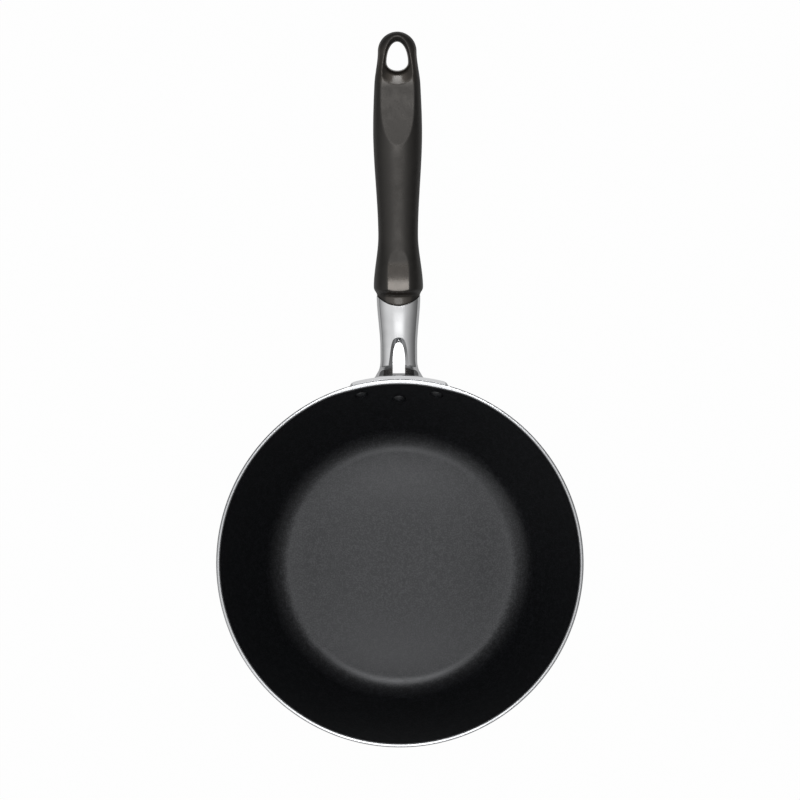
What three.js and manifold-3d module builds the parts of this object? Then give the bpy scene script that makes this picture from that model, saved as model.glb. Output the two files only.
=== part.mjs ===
// A non-stick wok of 240 mm with one long handle. Millimetres, +Z up.
// The origin is on the bowl's axis, on the surface that the wok stands on, and the handle points along +Y.
import * as THREE from "three";
import { mergeVertices } from "three/addons/utils/BufferGeometryUtils.js";
import Module from "manifold-3d";

// Fit between pieces that touch
const FIT = 0.3;

// Bowl
const RIM_RADIUS = 120;
const RIM_ROUND = 0.9;
const BOWL_HEIGHT = 70;
const WALL = 2.2;
const WALL_CURVE = 300;
const BASE_RADIUS = 73.5;
const BASE_THICKNESS = 4.2;
const BASE_FILLET = 20;
const PAD_OVERHANG = 4;
const PAD_ROUND = 0.6;

// Turned rings under the base
const RING_COUNT = 4;
const RING_PITCH = 13;
const RING_START = 24;
const RING_WIDTH = 1.6;
const RING_DEPTH = 0.6;

// Non-stick lining
const COATING = 0.35;
const COATING_GAP = 0.05;
const COATING_EDGE = 0.2;

// Rivets: two beside the neck, one below it
const RIVET_SHANK = 2.5;
const RIVET_HEAD = 4.6;
const RIVET_HEAD_RISE = 1.7;
const RIVET_TAIL = 4.2;
const RIVET_TAIL_RISE = 1.8;
const RIVET_SPREAD = 25;
const RIVET_DROP = 10.5;
const LOWER_RIVET_DROP = 21.5;

// Bracket flange, hugging the wall
const FLANGE_THICKNESS = 3;
const FLANGE_DROP = 4;
const FLANGE_HALF_WIDTH = 32.5;
const FLANGE_HEIGHT = 38;
const FLANGE_SHOULDER = 13;
const FLANGE_CORNER = 6;
const FLANGE_FOOT = 20;

// Handle axis: where it leaves the wall and how it rises
const HANDLE_DROP = 22;
const HANDLE_RISE = THREE.MathUtils.degToRad(16);

// Bracket neck: an arched channel that flares into the flange
const NECK_LENGTH = 66.6;
const NECK_WALL = 3;
const NECK_WAIST_AT = 27;
const NECK_WAIST = 12.2;
const NECK_TOP = 6.6;
const NECK_BOTTOM = 6.6;
const NECK_END = 14.4;
const NECK_END_TOP = 7.6;
const NECK_END_BOTTOM = 7.6;
const NECK_BULKHEAD = 11;
const NECK_SQUARENESS = 2.7;
const FLARE_LENGTH = 19;
const FLARE_SIDE = 12.5;
const FLARE_SIDE_POWER = 2.3;
const FLARE_FADE = 1.5;
const FLARE_TAPER = 0.55;
const FLARE_HOLLOW = 0.6;
const LEAN_HOLD = 13;
const LEAN_END = 35;

// Apron: a slope from the flange's top down to the neck
const APRON_LENGTH = 11.2;
const APRON_TOP = 9.75;
const APRON_POWER = 1.04;
const APRON_SQUARENESS = 14;
const APRON_HOLD = 8;
const APRON_END = 16;

// Arched slot through the neck and its sloping mouth in the neck's top
const SLOT_START = 15.2;
const SLOT_LENGTH = 20.6;
const SLOT_HALF_WIDTH = 4.1;
const MOUTH_START = 19.4;
const MOUTH_LENGTH = 19.9;
const MOUTH_FOOT = 8.1;
const MOUTH_WAIST = 4.9;
const MOUTH_DEPTH = 2;
const ARCH_WAIST_AT = 0.58;
const ARCH_CROWN = 0.75;

// Tang inside the grip
const TANG_LENGTH = 54;
const TANG_WIDTH = 13;
const TANG_HEIGHT = 8;

// Grip, measured from the line where its lip meets the neck
const GRIP_LENGTH = 172.2;
const NOSE_BOW = 6;
const LIP_HALF_WIDTH = 14.2;
const LIP_HEIGHT = 8;
const CHAMFER_LENGTH = 5.2;
const CREST_HALF_WIDTH = 16.3;
const CREST_TOP = 13.6;
const CREST_BOTTOM = 11;
const WAIST_AT = 39.5;
const WAIST_HALF_WIDTH = 13.1;
const WAIST_TOP = 8.8;
const WAIST_BOTTOM = 9.8;
const BELLY_TO_END = 64.5;
const BELLY_HALF_WIDTH = 16;
const BELLY_TOP = 10.2;
const BELLY_BOTTOM = 11.2;
const SHOULDER_TO_END = 34;
const SHOULDER_HALF_WIDTH = 15;
const SHOULDER_TOP = 9.2;
const SHOULDER_BOTTOM = 8.8;
const END_RADIUS = 12.6;
const END_TOP = 7;
const END_BOTTOM = 6.8;
const END_FULLNESS = 3;
const CREST_ROUND = 0.7;
const GRIP_SQUARENESS = 2.3;

// Thumb ramp behind the crest
const RAMP_LENGTH = 26;
const RAMP_DEPTH = 1;
const RAMP_FADE = 4;

// Flat facet on the grip's top, in front of the eye
const FACET_LENGTH = 39;
const FACET_DEPTH = 2.3;

// Hanging eye
const EYE_HALF_WIDTH = 7;
const EYE_TO_END = 6.4;
const EYE_LENGTH = 19;
const EYE_WIDEST = 0.28;
const EYE_FLANK = 3.8;
const EYE_SLOPE = 8;
const EYE_APEX_FLANK = 4;
const EYE_DEPTH = 5;
const EYE_SQUARENESS = 2;

// Screw from below into the tang
const SCREW_SHANK = 2;
const SCREW_HEAD = 4.2;
const SCREW_HEAD_HEIGHT = 2.6;
const SCREW_SEAT = 2.4;
const SCREW_TO_TANG_END = 12;

// Facets
const BOWL_SEGMENTS = 64;
const FLANGE_SEGMENTS = 128;
const FILLET_STEPS = 4;
const WALL_STEPS = 4;
const EDGE_STEPS = 3;
const DOME_STEPS = 4;
const FLARE_STEPS = 7;
const NECK_STEPS = 7;
const NECK_POINTS = 28;
const GRIP_STEPS = 18;
const END_STEPS = 8;
const GRIP_POINTS = 32;
const ROUND_POINTS = 16;
const SAME_POINT = 1e-4;

const wasm = await Module();
wasm.setup();

// Geometry as a solid for cutting and joining
function solidOf(geometry) {
  const bare = new THREE.BufferGeometry();
  bare.setAttribute("position", geometry.getAttribute("position"));
  bare.setIndex(geometry.index);
  const merged = mergeVertices(bare, SAME_POINT);
  const corners = merged.index.array;
  const kept = [];
  for (let i = 0; i < corners.length; i += 3) {
    const [a, b, c] = corners.subarray(i, i + 3);
    if (a !== b && b !== c && c !== a) kept.push(a, b, c);
  }
  const vertProperties = merged.attributes.position.array;
  const triVerts = new Uint32Array(kept);
  return new wasm.Manifold(new wasm.Mesh({ numProp: 3, vertProperties, triVerts }));
}

// Solid back as geometry
function geometryOf(solid) {
  const mesh = solid.getMesh();
  const geometry = new THREE.BufferGeometry();
  geometry.setAttribute("position", new THREE.BufferAttribute(mesh.vertProperties, mesh.numProp));
  geometry.setIndex(new THREE.BufferAttribute(mesh.triVerts, 1));
  geometry.computeVertexNormals();
  return geometry;
}

const subtract = (body, ...cutters) => cutters.reduce((left, cutter) => left.subtract(cutter), body);

// Profile of (radius, height) points turned about Z
function turned(points, segments) {
  return new THREE.LatheGeometry(points, segments).rotateX(Math.PI / 2);
}

// Equal shares from 0 to 1, both included
const stops = (count) => Array.from({ length: count + 1 }, (_, i) => i / count);

// Points on an arc, both ends included
function arc(centre, radius, from, to, steps) {
  return stops(steps).map((share) => {
    const angle = THREE.MathUtils.lerp(from, to, share);
    return new THREE.Vector2(Math.cos(angle), Math.sin(angle)).multiplyScalar(radius).add(centre);
  });
}

// Closed skin over rings of equally many points, each anticlockwise about the way they are stacked
function loft(rings) {
  const count = rings[0].length;
  const points = rings.flat();
  const faces = [];
  rings.slice(1).forEach((_, r) => {
    for (let i = 0; i < count; i += 1) {
      const a = r * count + i;
      const b = r * count + ((i + 1) % count);
      faces.push(a, b, b + count, a, b + count, a + count);
    }
  });
  const last = (rings.length - 1) * count;
  for (let i = 1; i < count - 1; i += 1) {
    faces.push(0, i + 1, i, last, last + i, last + i + 1);
  }
  const geometry = new THREE.BufferGeometry().setFromPoints(points);
  geometry.setIndex(faces);
  return geometry;
}

// Rounded section in the XZ plane: half width, reach up, reach down, and how square it is
function section(halfWidth, top, bottom, squareness, count) {
  return Array.from({ length: count }, (_, i) => {
    const angle = (2 * Math.PI * i) / count;
    const [across, up] = [Math.cos(angle), Math.sin(angle)];
    const bend = (value) => Math.sign(value) * Math.abs(value) ** (2 / squareness);
    return new THREE.Vector2(halfWidth * bend(across), (up > 0 ? top : bottom) * bend(up));
  });
}

// Smooth curve through (place, value) points that never overshoots them
function smooth(points) {
  const slope = points.slice(1).map(([x, y], i) => (y - points[i][1]) / (x - points[i][0]));
  const lean = points.map((_, i) => {
    const [before, after] = [slope[i - 1] ?? 0, slope[i] ?? 0];
    return before * after > 0 ? (2 * before * after) / (before + after) : 0;
  });
  return (x) => {
    const i = Math.max(0, Math.min(points.length - 2, points.findLastIndex(([place]) => place <= x)));
    const [[x0, y0], [x1, y1]] = [points[i], points[i + 1]];
    const width = x1 - x0;
    const t = THREE.MathUtils.clamp((x - x0) / width, 0, 1);
    const rise = y1 - y0 - lean[i] * width;
    const fall = lean[i + 1] * width - (y1 - y0);
    return y0 + t * (lean[i] * width + t * (2 * rise - fall + t * (fall - rise)));
  };
}

// Round bar along Z between two heights
function bar(radius, low, high) {
  const geometry = new THREE.CylinderGeometry(radius, radius, high - low, ROUND_POINTS).rotateX(Math.PI / 2);
  return geometry.translate(0, 0, (low + high) / 2);
}

// Flat outline in XY carried along Z between two heights
function prism(shape, low, high) {
  const settings = { depth: high - low, bevelEnabled: false, curveSegments: ROUND_POINTS / 2 };
  return new THREE.ExtrudeGeometry(shape, settings).translate(0, 0, low);
}

// Section of the bowl: a base fillet and a long wall arc that meet smoothly
const filletCentre = new THREE.Vector2(BASE_RADIUS, BASE_THICKNESS + BASE_FILLET);
const wallCentre = (() => {
  const rim = new THREE.Vector2(RIM_RADIUS, BOWL_HEIGHT - RIM_ROUND);
  const line = rim.clone().sub(filletCentre);
  const span = line.length();
  const toFillet = WALL_CURVE - BASE_FILLET;
  const toRim = WALL_CURVE + WALL;
  const along = (toFillet ** 2 - toRim ** 2 + span ** 2) / (2 * span);
  const aside = Math.sqrt(toFillet ** 2 - along ** 2);
  line.normalize();
  const inward = new THREE.Vector2(-line.y, line.x);
  return filletCentre.clone().addScaledVector(line, along).addScaledVector(inward, aside);
})();
const joinAngle = filletCentre.clone().sub(wallCentre).angle() - 2 * Math.PI;

// Angle of the wall's outward normal at a height, a distance outside the cooking surface
const wallAngle = (height, offset) => Math.asin((height - wallCentre.y) / (WALL_CURVE + offset));
const wallRadius = (height, offset) =>
  wallCentre.x + (WALL_CURVE + offset) * Math.cos(wallAngle(height, offset));

// Side of the bowl's section from the base up to a height
function bowlSide(offset, top, baseAngle = -Math.PI / 2) {
  const fillet = arc(filletCentre, BASE_FILLET + offset, baseAngle, joinAngle, FILLET_STEPS);
  const wall = arc(wallCentre, WALL_CURVE + offset, joinAngle, wallAngle(top, offset), WALL_STEPS);
  return [...fillet, ...wall.slice(1)];
}

// Underside of the base with its turned rings
function underside() {
  const points = [new THREE.Vector2(0, 0)];
  for (let ring = 0; ring < RING_COUNT; ring += 1) {
    const start = RING_START + ring * RING_PITCH;
    points.push(new THREE.Vector2(start, 0));
    points.push(new THREE.Vector2(start + RING_WIDTH / 4, RING_DEPTH));
    points.push(new THREE.Vector2(start + (RING_WIDTH * 3) / 4, RING_DEPTH));
    points.push(new THREE.Vector2(start + RING_WIDTH, 0));
  }
  const padRadius = BASE_RADIUS + PAD_OVERHANG;
  const corner = new THREE.Vector2(padRadius - PAD_ROUND, PAD_ROUND);
  return [...points, ...arc(corner, PAD_ROUND, -Math.PI / 2, 0, EDGE_STEPS)];
}

function bowlProfile() {
  const padAngle = -Math.acos(PAD_OVERHANG / (BASE_FILLET + WALL));
  const outside = bowlSide(WALL, BOWL_HEIGHT - RIM_ROUND, padAngle);
  const lipEdge = new THREE.Vector2(outside.at(-1).x - RIM_ROUND, BOWL_HEIGHT - RIM_ROUND);
  const rim = arc(lipEdge, RIM_ROUND, 0, Math.PI / 2, EDGE_STEPS).slice(1);
  const inside = bowlSide(0, BOWL_HEIGHT).reverse();
  return [...underside(), ...outside, ...rim, ...inside, new THREE.Vector2(0, BASE_THICKNESS)];
}

function coatingProfile() {
  const top = BOWL_HEIGHT - COATING_EDGE;
  const back = bowlSide(-COATING_GAP, top);
  const face = bowlSide(-COATING_GAP - COATING, top).reverse();
  const backHeight = BASE_THICKNESS + COATING_GAP;
  const foot = new THREE.Vector2(0, backHeight);
  return [foot, ...back, ...face, new THREE.Vector2(0, backHeight + COATING)];
}

// Place of a rivet on the wall, with +Z pointing out of the bowl
function rivetPlace(across, drop) {
  const height = BOWL_HEIGHT - drop;
  const radius = wallRadius(height, 0);
  const turn = Math.asin(across / radius);
  const place = new THREE.Object3D();
  place.position.set(across, radius * Math.cos(turn), height);
  place.rotation.set(wallAngle(height, 0) - Math.PI / 2, 0, -turn, "ZXY");
  place.updateMatrixWorld();
  return place;
}

const rivetPlaces = {
  rivet_left: rivetPlace(-RIVET_SPREAD, RIVET_DROP),
  rivet_right: rivetPlace(RIVET_SPREAD, RIVET_DROP),
  rivet_lower: rivetPlace(0, LOWER_RIVET_DROP),
};
// The flat under a head bridges the hollow of the wall
const headLift = RIVET_HEAD ** 2 / RIM_RADIUS;
const headSeat = -(COATING_GAP + COATING + FIT + headLift);
const tailSeat = WALL + FIT + FLANGE_THICKNESS + FIT;

// Low dome of a rivet from its edge to its crown
function dome(radius, seat, rise) {
  return stops(DOME_STEPS).map((share) => {
    const angle = share * (Math.PI / 2);
    return new THREE.Vector2(radius * Math.cos(angle), seat + rise * Math.sin(angle));
  });
}

function rivetGeometry() {
  const head = dome(RIVET_HEAD, headSeat, -RIVET_HEAD_RISE).reverse();
  const tail = dome(RIVET_TAIL, tailSeat, RIVET_TAIL_RISE);
  const shank = [new THREE.Vector2(RIVET_SHANK, headSeat), new THREE.Vector2(RIVET_SHANK, tailSeat)];
  return turned([...head, ...shank, ...tail], ROUND_POINTS);
}

const rivetHoles = Object.values(rivetPlaces).map((place) => {
  const hole = bar(RIVET_SHANK + FIT, headSeat - RIVET_HEAD_RISE, tailSeat + RIVET_TAIL_RISE);
  return hole.applyMatrix4(place.matrixWorld);
});

// Handle frame: +Y runs along the handle from the wall to the eye
const handle = new THREE.Group();
const rootHeight = BOWL_HEIGHT - HANDLE_DROP;
handle.position.set(0, wallRadius(rootHeight, WALL + FIT), rootHeight);
handle.rotation.x = HANDLE_RISE;
handle.updateMatrixWorld();
const intoHandle = handle.matrixWorld.clone().invert();
const inHandle = (geometry) => solidOf(geometry.clone().applyMatrix4(intoHandle));

// How far the flange's face leans from square to the handle
const faceLean = HANDLE_RISE - wallAngle(rootHeight, WALL);
const faceAt = FLANGE_THICKNESS / Math.cos(faceLean);

// Flange: a band of the wall's own curve, trimmed to a shield
function flangeSolid() {
  const top = BOWL_HEIGHT - FLANGE_DROP;
  const low = top - FLANGE_HEIGHT;
  const side = (offset) =>
    arc(wallCentre, WALL_CURVE + offset, wallAngle(low, offset), wallAngle(top, offset), WALL_STEPS);
  const outside = side(WALL + FIT + FLANGE_THICKNESS);
  const inside = side(WALL + FIT).reverse();
  const band = turned([...outside, ...inside, outside[0]], FLANGE_SEGMENTS);
  const wide = FLANGE_HALF_WIDTH;
  const shield = new THREE.Shape();
  const shoulder = top - FLANGE_SHOULDER;
  const belly = (shoulder + low) / 2;
  shield.moveTo(-wide + FLANGE_CORNER, top);
  shield.lineTo(wide - FLANGE_CORNER, top);
  shield.quadraticCurveTo(wide, top, wide, top - FLANGE_CORNER);
  shield.lineTo(wide, shoulder);
  shield.bezierCurveTo(wide, belly, FLANGE_FOOT, low, 0, low);
  shield.bezierCurveTo(-FLANGE_FOOT, low, -wide, belly, -wide, shoulder);
  shield.lineTo(-wide, top - FLANGE_CORNER);
  shield.quadraticCurveTo(-wide, top, -wide + FLANGE_CORNER, top);
  const trim = prism(shield, -2 * RIM_RADIUS, 0).rotateX(Math.PI / 2);
  return inHandle(band).intersect(inHandle(trim));
}

// Neck section at a distance from the flange's face; sections turn and unbend from the face to square
function neckRing(at, shrink, reachDown) {
  const { clamp, lerp, smoothstep } = THREE.MathUtils;
  const share = shrink ? FLARE_HOLLOW : 1;
  const apron = share * APRON_TOP * clamp(1 - at / APRON_LENGTH, 0, 1) ** APRON_POWER;
  const flare = share * FLARE_SIDE * clamp(1 - at / FLARE_LENGTH, 0, 1) ** FLARE_SIDE_POWER;
  const end = NECK_LENGTH - faceAt;
  const halfWidth = smooth([[0, NECK_WAIST], [NECK_WAIST_AT, NECK_WAIST], [end, NECK_END]])(at);
  const top = smooth([[0, NECK_TOP], [NECK_WAIST_AT, NECK_TOP], [end, NECK_END_TOP]])(at);
  const bottom = smooth([[0, NECK_BOTTOM], [NECK_WAIST_AT, NECK_BOTTOM], [end, NECK_END_BOTTOM]])(at);
  const lean = faceLean * (1 - smoothstep(at, LEAN_HOLD, LEAN_END));
  const high = top / Math.cos(lean) - shrink + apron;
  const hug = 1 - smoothstep(at, 0, FLARE_LENGTH);
  const squareness = lerp(APRON_SQUARENESS, NECK_SQUARENESS, smoothstep(at, APRON_HOLD, APRON_END));
  return section(1, 1, 1, squareness, NECK_POINTS).map(({ x: across, y: up }) => {
    const x = across * (halfWidth - shrink + flare * (1 - FLARE_TAPER * Math.max(0, up)) ** FLARE_FADE);
    const z = up * (up > 0 ? high : bottom + reachDown);
    const bow = x ** 2 / (2 * handle.position.y) + z ** 2 / (2 * WALL_CURVE);
    return new THREE.Vector3(-x, faceAt + at + z * Math.sin(lean) - hug * bow, z * Math.cos(lean));
  });
}

// Everything on the grip's side of its bowed nose, moved back by a gap
function noseSide(gap) {
  const reach = CREST_HALF_WIDTH + LIP_HALF_WIDTH;
  const lip = NECK_LENGTH - gap;
  const shape = new THREE.Shape();
  shape.moveTo(-reach, lip);
  shape.lineTo(-LIP_HALF_WIDTH, lip);
  shape.quadraticCurveTo(0, lip - 2 * NOSE_BOW, LIP_HALF_WIDTH, lip);
  shape.lineTo(reach, lip);
  shape.lineTo(reach, NECK_LENGTH + 2 * GRIP_LENGTH);
  shape.lineTo(-reach, NECK_LENGTH + 2 * GRIP_LENGTH);
  return solidOf(prism(shape, -reach, reach));
}

// Tang, or with a gap the pocket that it slides into
function tangSolid(gap) {
  const start = NECK_LENGTH - NOSE_BOW - NECK_BULKHEAD / 2;
  const end = NECK_LENGTH - NOSE_BOW + TANG_LENGTH + gap;
  const box = new THREE.BoxGeometry(TANG_WIDTH + 2 * gap, end - start, TANG_HEIGHT + 2 * gap);
  return solidOf(box.translate(0, (start + end) / 2, 0));
}

// Arch across the neck at a height: a straight foot, sides that draw in and a round crown
function archRing(start, length, foot, waist, height) {
  const crown = start + length;
  const bend = start + ARCH_WAIST_AT * length;
  const shape = new THREE.Shape();
  shape.moveTo(foot, start);
  shape.bezierCurveTo(waist, bend, ARCH_CROWN * waist, crown, 0, crown);
  shape.bezierCurveTo(-ARCH_CROWN * waist, crown, -waist, bend, -foot, start);
  return shape.getPoints(ROUND_POINTS / 2).map(({ x, y }) => new THREE.Vector3(x, y, height));
}

const slotReach = NECK_TOP + APRON_TOP + NECK_BOTTOM;

// Slot straight through the neck
function slotCut() {
  const ring = (height) => archRing(SLOT_START, SLOT_LENGTH, SLOT_HALF_WIDTH, SLOT_HALF_WIDTH, height);
  return solidOf(loft([ring(-slotReach), ring(slotReach)]));
}

// Mouth that slopes from the neck's top down to the slot's sides
function mouthCut() {
  const ring = (height) => archRing(MOUTH_START, MOUTH_LENGTH, MOUTH_FOOT, MOUTH_WAIST, height);
  const length = SLOT_START + SLOT_LENGTH - MOUTH_START;
  const low = archRing(MOUTH_START, length, SLOT_HALF_WIDTH, SLOT_HALF_WIDTH, NECK_TOP - MOUTH_DEPTH);
  return solidOf(loft([low, ring(NECK_TOP), ring(slotReach)]));
}

const screwAt = NECK_LENGTH - NOSE_BOW + TANG_LENGTH - SCREW_TO_TANG_END;

function bracketGeometry() {
  const end = NECK_LENGTH - faceAt;
  const sink = -FLANGE_THICKNESS / 2;
  const flareStops = stops(FLARE_STEPS).map((share) => share ** 2 * APRON_LENGTH);
  const neckStops = stops(NECK_STEPS).slice(1).map((share) => THREE.MathUtils.lerp(APRON_LENGTH, end, share));
  const outer = [sink, ...flareStops, ...neckStops].map((at) => neckRing(at, 0, 0));
  const hollowEnd = end - NOSE_BOW - NECK_BULKHEAD;
  const hollowStops = [...flareStops, FLARE_LENGTH, NECK_WAIST_AT, LEAN_END, hollowEnd];
  const hollow = hollowStops.map((at) => neckRing(at, NECK_WALL, 2 * NECK_BOTTOM));
  const neck = subtract(solidOf(loft(outer)), solidOf(loft(hollow)), slotCut(), mouthCut(), noseSide(FIT));
  const clear = [new THREE.Vector2(0, 0), ...bowlSide(WALL + FIT, BOWL_HEIGHT)];
  const bowlRoom = inHandle(turned([...clear, new THREE.Vector2(0, BOWL_HEIGHT)], FLANGE_SEGMENTS));
  const screwHole = solidOf(bar(SCREW_SHANK + FIT, -TANG_HEIGHT, TANG_HEIGHT).translate(0, screwAt, 0));
  const joined = subtract(neck, bowlRoom).add(flangeSolid()).add(tangSolid(0));
  return geometryOf(subtract(joined, screwHole, ...rivetHoles.map(inHandle)));
}

// Grip sizes along the handle
const gripEnd = NECK_LENGTH + GRIP_LENGTH;
const crestAt = NECK_LENGTH + CHAMFER_LENGTH;
const waistAt = NECK_LENGTH + WAIST_AT;
const bellyAt = gripEnd - BELLY_TO_END;
const shoulderAt = gripEnd - SHOULDER_TO_END;
const loopAt = gripEnd - END_RADIUS;
const gripStops = [NECK_LENGTH, crestAt, waistAt, bellyAt, shoulderAt, loopAt];
const gripCurve = (...values) => smooth(gripStops.map((stop, i) => [stop, values[i]]));
const gripHalfWidth = gripCurve(
  LIP_HALF_WIDTH, CREST_HALF_WIDTH, WAIST_HALF_WIDTH, BELLY_HALF_WIDTH, SHOULDER_HALF_WIDTH, END_RADIUS,
);
const gripTop = gripCurve(LIP_HEIGHT, CREST_TOP, WAIST_TOP, BELLY_TOP, SHOULDER_TOP, END_TOP);
const gripBottom = gripCurve(
  LIP_HEIGHT, CREST_BOTTOM, WAIST_BOTTOM, BELLY_BOTTOM, SHOULDER_BOTTOM, END_BOTTOM,
);

function gripBody() {
  const ring = (at, width = 1, height = 1) => {
    const [high, low] = [gripTop(at) * height, gripBottom(at) * height];
    const outline = section(gripHalfWidth(at) * width, high, low, GRIP_SQUARENESS, GRIP_POINTS);
    return outline.map(({ x, y }) => new THREE.Vector3(-x, at, y));
  };
  const front = [NECK_LENGTH - 2 * NOSE_BOW, NECK_LENGTH, crestAt - CREST_ROUND];
  const body = stops(GRIP_STEPS).map((share) => THREE.MathUtils.lerp(crestAt, loopAt, share));
  const round = stops(END_STEPS).slice(1).map((share) => {
    const reach = Math.sin((share * Math.PI) / 2);
    const fullness = (1 - reach ** (2 * END_FULLNESS)) ** (1 / END_FULLNESS);
    return ring(loopAt + END_RADIUS * reach, Math.cos((share * Math.PI) / 2), fullness);
  });
  return solidOf(loft([...[...front, ...body].map((at) => ring(at)), ...round]));
}

// Wedge that cuts the grip's top down to a curve seen from the side
function topCut(outline) {
  const shape = new THREE.Shape();
  outline(shape);
  const reach = 2 * CREST_HALF_WIDTH;
  const wedge = prism(shape, -reach, reach);
  return solidOf(wedge.applyMatrix4(new THREE.Matrix4().makeBasis(
    new THREE.Vector3(0, 1, 0), new THREE.Vector3(0, 0, 1), new THREE.Vector3(1, 0, 0),
  )));
}

// Ramp for the thumb: the top planed down behind the crest
function rampCut() {
  return topCut((shape) => {
    const high = 2 * CREST_TOP;
    shape.moveTo(crestAt - CHAMFER_LENGTH, high);
    shape.lineTo(crestAt - CHAMFER_LENGTH, CREST_TOP - RAMP_DEPTH);
    for (const share of stops(ROUND_POINTS / 2)) {
      const at = crestAt + RAMP_LENGTH * share;
      shape.lineTo(at, gripTop(at) - RAMP_DEPTH * (1 - share ** RAMP_FADE));
    }
    shape.lineTo(crestAt + RAMP_LENGTH, high);
  });
}

const facetEnd = gripEnd - EYE_TO_END - EYE_LENGTH - EYE_SLOPE;
const facetHeight = gripTop(facetEnd) - FACET_DEPTH;

// Facet in front of the eye, carried on as the flat top of the eye
function facetCut() {
  return topCut((shape) => {
    const start = facetEnd - FACET_LENGTH;
    const high = 2 * CREST_TOP;
    shape.moveTo(start - FACET_LENGTH / 4, high);
    shape.lineTo(start, gripTop(start));
    shape.quadraticCurveTo(start + FACET_LENGTH / 2, facetHeight + FACET_DEPTH / 4, facetEnd, facetHeight);
    shape.lineTo(gripEnd, gripTop(gripEnd) - FACET_DEPTH / 4);
    shape.lineTo(gripEnd + END_RADIUS, high);
  });
}

// Egg outline round the eye at a height, its wide end towards the bowl
function eyeRing(flank, slope, apex, height) {
  const low = gripEnd - EYE_TO_END - EYE_LENGTH - slope;
  const high = gripEnd - EYE_TO_END + apex;
  const wide = gripEnd - EYE_TO_END - EYE_LENGTH * (1 - EYE_WIDEST) - slope * EYE_WIDEST;
  return section(EYE_HALF_WIDTH + flank, high - wide, wide - low, EYE_SQUARENESS, GRIP_POINTS)
    .map(({ x, y }) => new THREE.Vector3(x, wide + y, height));
}

// Eye: a straight hole under a wide sloping mouth
function eyeCut() {
  const floor = facetHeight - EYE_DEPTH;
  const past = 2 * facetHeight - floor;
  const rings = [
    eyeRing(0, 0, 0, -2 * END_BOTTOM),
    eyeRing(0, 0, 0, floor),
    eyeRing(2 * EYE_FLANK, 2 * EYE_SLOPE, 2 * EYE_APEX_FLANK, past),
  ];
  return solidOf(loft(rings));
}

const screwSeat = -gripBottom(screwAt) + SCREW_HEAD_HEIGHT + SCREW_SEAT / 2;

function gripGeometry() {
  const nose = noseSide(0);
  const through = solidOf(bar(SCREW_SHANK + FIT, -2 * WAIST_BOTTOM, 0).translate(0, screwAt, 0));
  const counterbore = solidOf(bar(SCREW_HEAD + FIT, -2 * WAIST_BOTTOM, screwSeat).translate(0, screwAt, 0));
  const body = gripBody().intersect(nose);
  return geometryOf(subtract(body, rampCut(), facetCut(), eyeCut(), tangSolid(FIT), through, counterbore));
}

// Screw: a low round head and a plain shank, up to the top of the tang
function screwGeometry() {
  const seat = screwSeat - FIT;
  const head = dome(SCREW_HEAD, seat, -SCREW_HEAD_HEIGHT).reverse();
  const top = TANG_HEIGHT / 2;
  const shank = [[SCREW_SHANK, seat], [SCREW_SHANK, top], [0, top]].map((p) => new THREE.Vector2(...p));
  return turned([...head, ...shank], ROUND_POINTS);
}

// One named mesh with its own finish
function piece(name, geometry, color, roughness, metalness) {
  const mesh = new THREE.Mesh(geometry, new THREE.MeshStandardMaterial({ color, roughness, metalness }));
  mesh.name = name;
  return mesh;
}

const holes = rivetHoles.map(solidOf);
const bowlSolid = subtract(solidOf(turned(bowlProfile(), BOWL_SEGMENTS)), ...holes);
const coatingSolid = subtract(solidOf(turned(coatingProfile(), BOWL_SEGMENTS)), ...holes);

const wok = new THREE.Group();
wok.add(piece("bowl", geometryOf(bowlSolid), 0xc4c6c8, 0.35, 1));
wok.add(piece("nonstick_coating", geometryOf(coatingSolid), 0x151516, 0.45, 0));
for (const [name, place] of Object.entries(rivetPlaces)) {
  const rivet = piece(name, rivetGeometry(), 0xb9bbbe, 0.3, 1);
  rivet.position.copy(place.position);
  rivet.rotation.copy(place.rotation);
  wok.add(rivet);
}
handle.add(piece("handle_bracket", bracketGeometry(), 0xd6d8da, 0.12, 1));
handle.add(piece("grip", gripGeometry(), 0x161618, 0.5, 0));
const screw = piece("grip_screw", screwGeometry(), 0x9b9da0, 0.3, 1);
screw.position.y = screwAt;
handle.add(screw);
wok.add(handle);

export default wok;
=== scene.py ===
"""Looks of a flat-bottomed wok: a black-lined bowl with one long riveted handle.

Everything is in metres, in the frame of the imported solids. +Z runs up the bowl's axis from the
surface that the wok stands on, and the handle points along +Y.
"""
import logging
import math
from collections.abc import Sequence
from dataclasses import dataclass
from enum import Enum

import bmesh
import bpy
from mathutils import Matrix, Vector
from mathutils.geometry import interpolate_bezier, intersect_sphere_sphere_2d


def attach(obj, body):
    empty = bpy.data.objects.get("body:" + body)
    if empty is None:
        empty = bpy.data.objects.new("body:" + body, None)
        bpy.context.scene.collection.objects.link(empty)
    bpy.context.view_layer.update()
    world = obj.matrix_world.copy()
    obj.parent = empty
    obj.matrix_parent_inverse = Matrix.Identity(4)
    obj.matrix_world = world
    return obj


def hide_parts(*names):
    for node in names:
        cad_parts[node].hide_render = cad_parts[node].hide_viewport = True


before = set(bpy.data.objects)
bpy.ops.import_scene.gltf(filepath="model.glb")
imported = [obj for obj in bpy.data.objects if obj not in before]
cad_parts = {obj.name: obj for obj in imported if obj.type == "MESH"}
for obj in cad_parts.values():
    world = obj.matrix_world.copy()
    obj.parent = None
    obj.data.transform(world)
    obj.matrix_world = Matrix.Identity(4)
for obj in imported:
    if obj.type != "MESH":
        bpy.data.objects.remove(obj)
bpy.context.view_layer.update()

MM = 0.001
BODY = "root"
SAME_POINT = 0.0005 * MM
CREASE = math.radians(24)
SMOOTHING = 0.5
LOG = logging.getLogger("wok")

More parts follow.
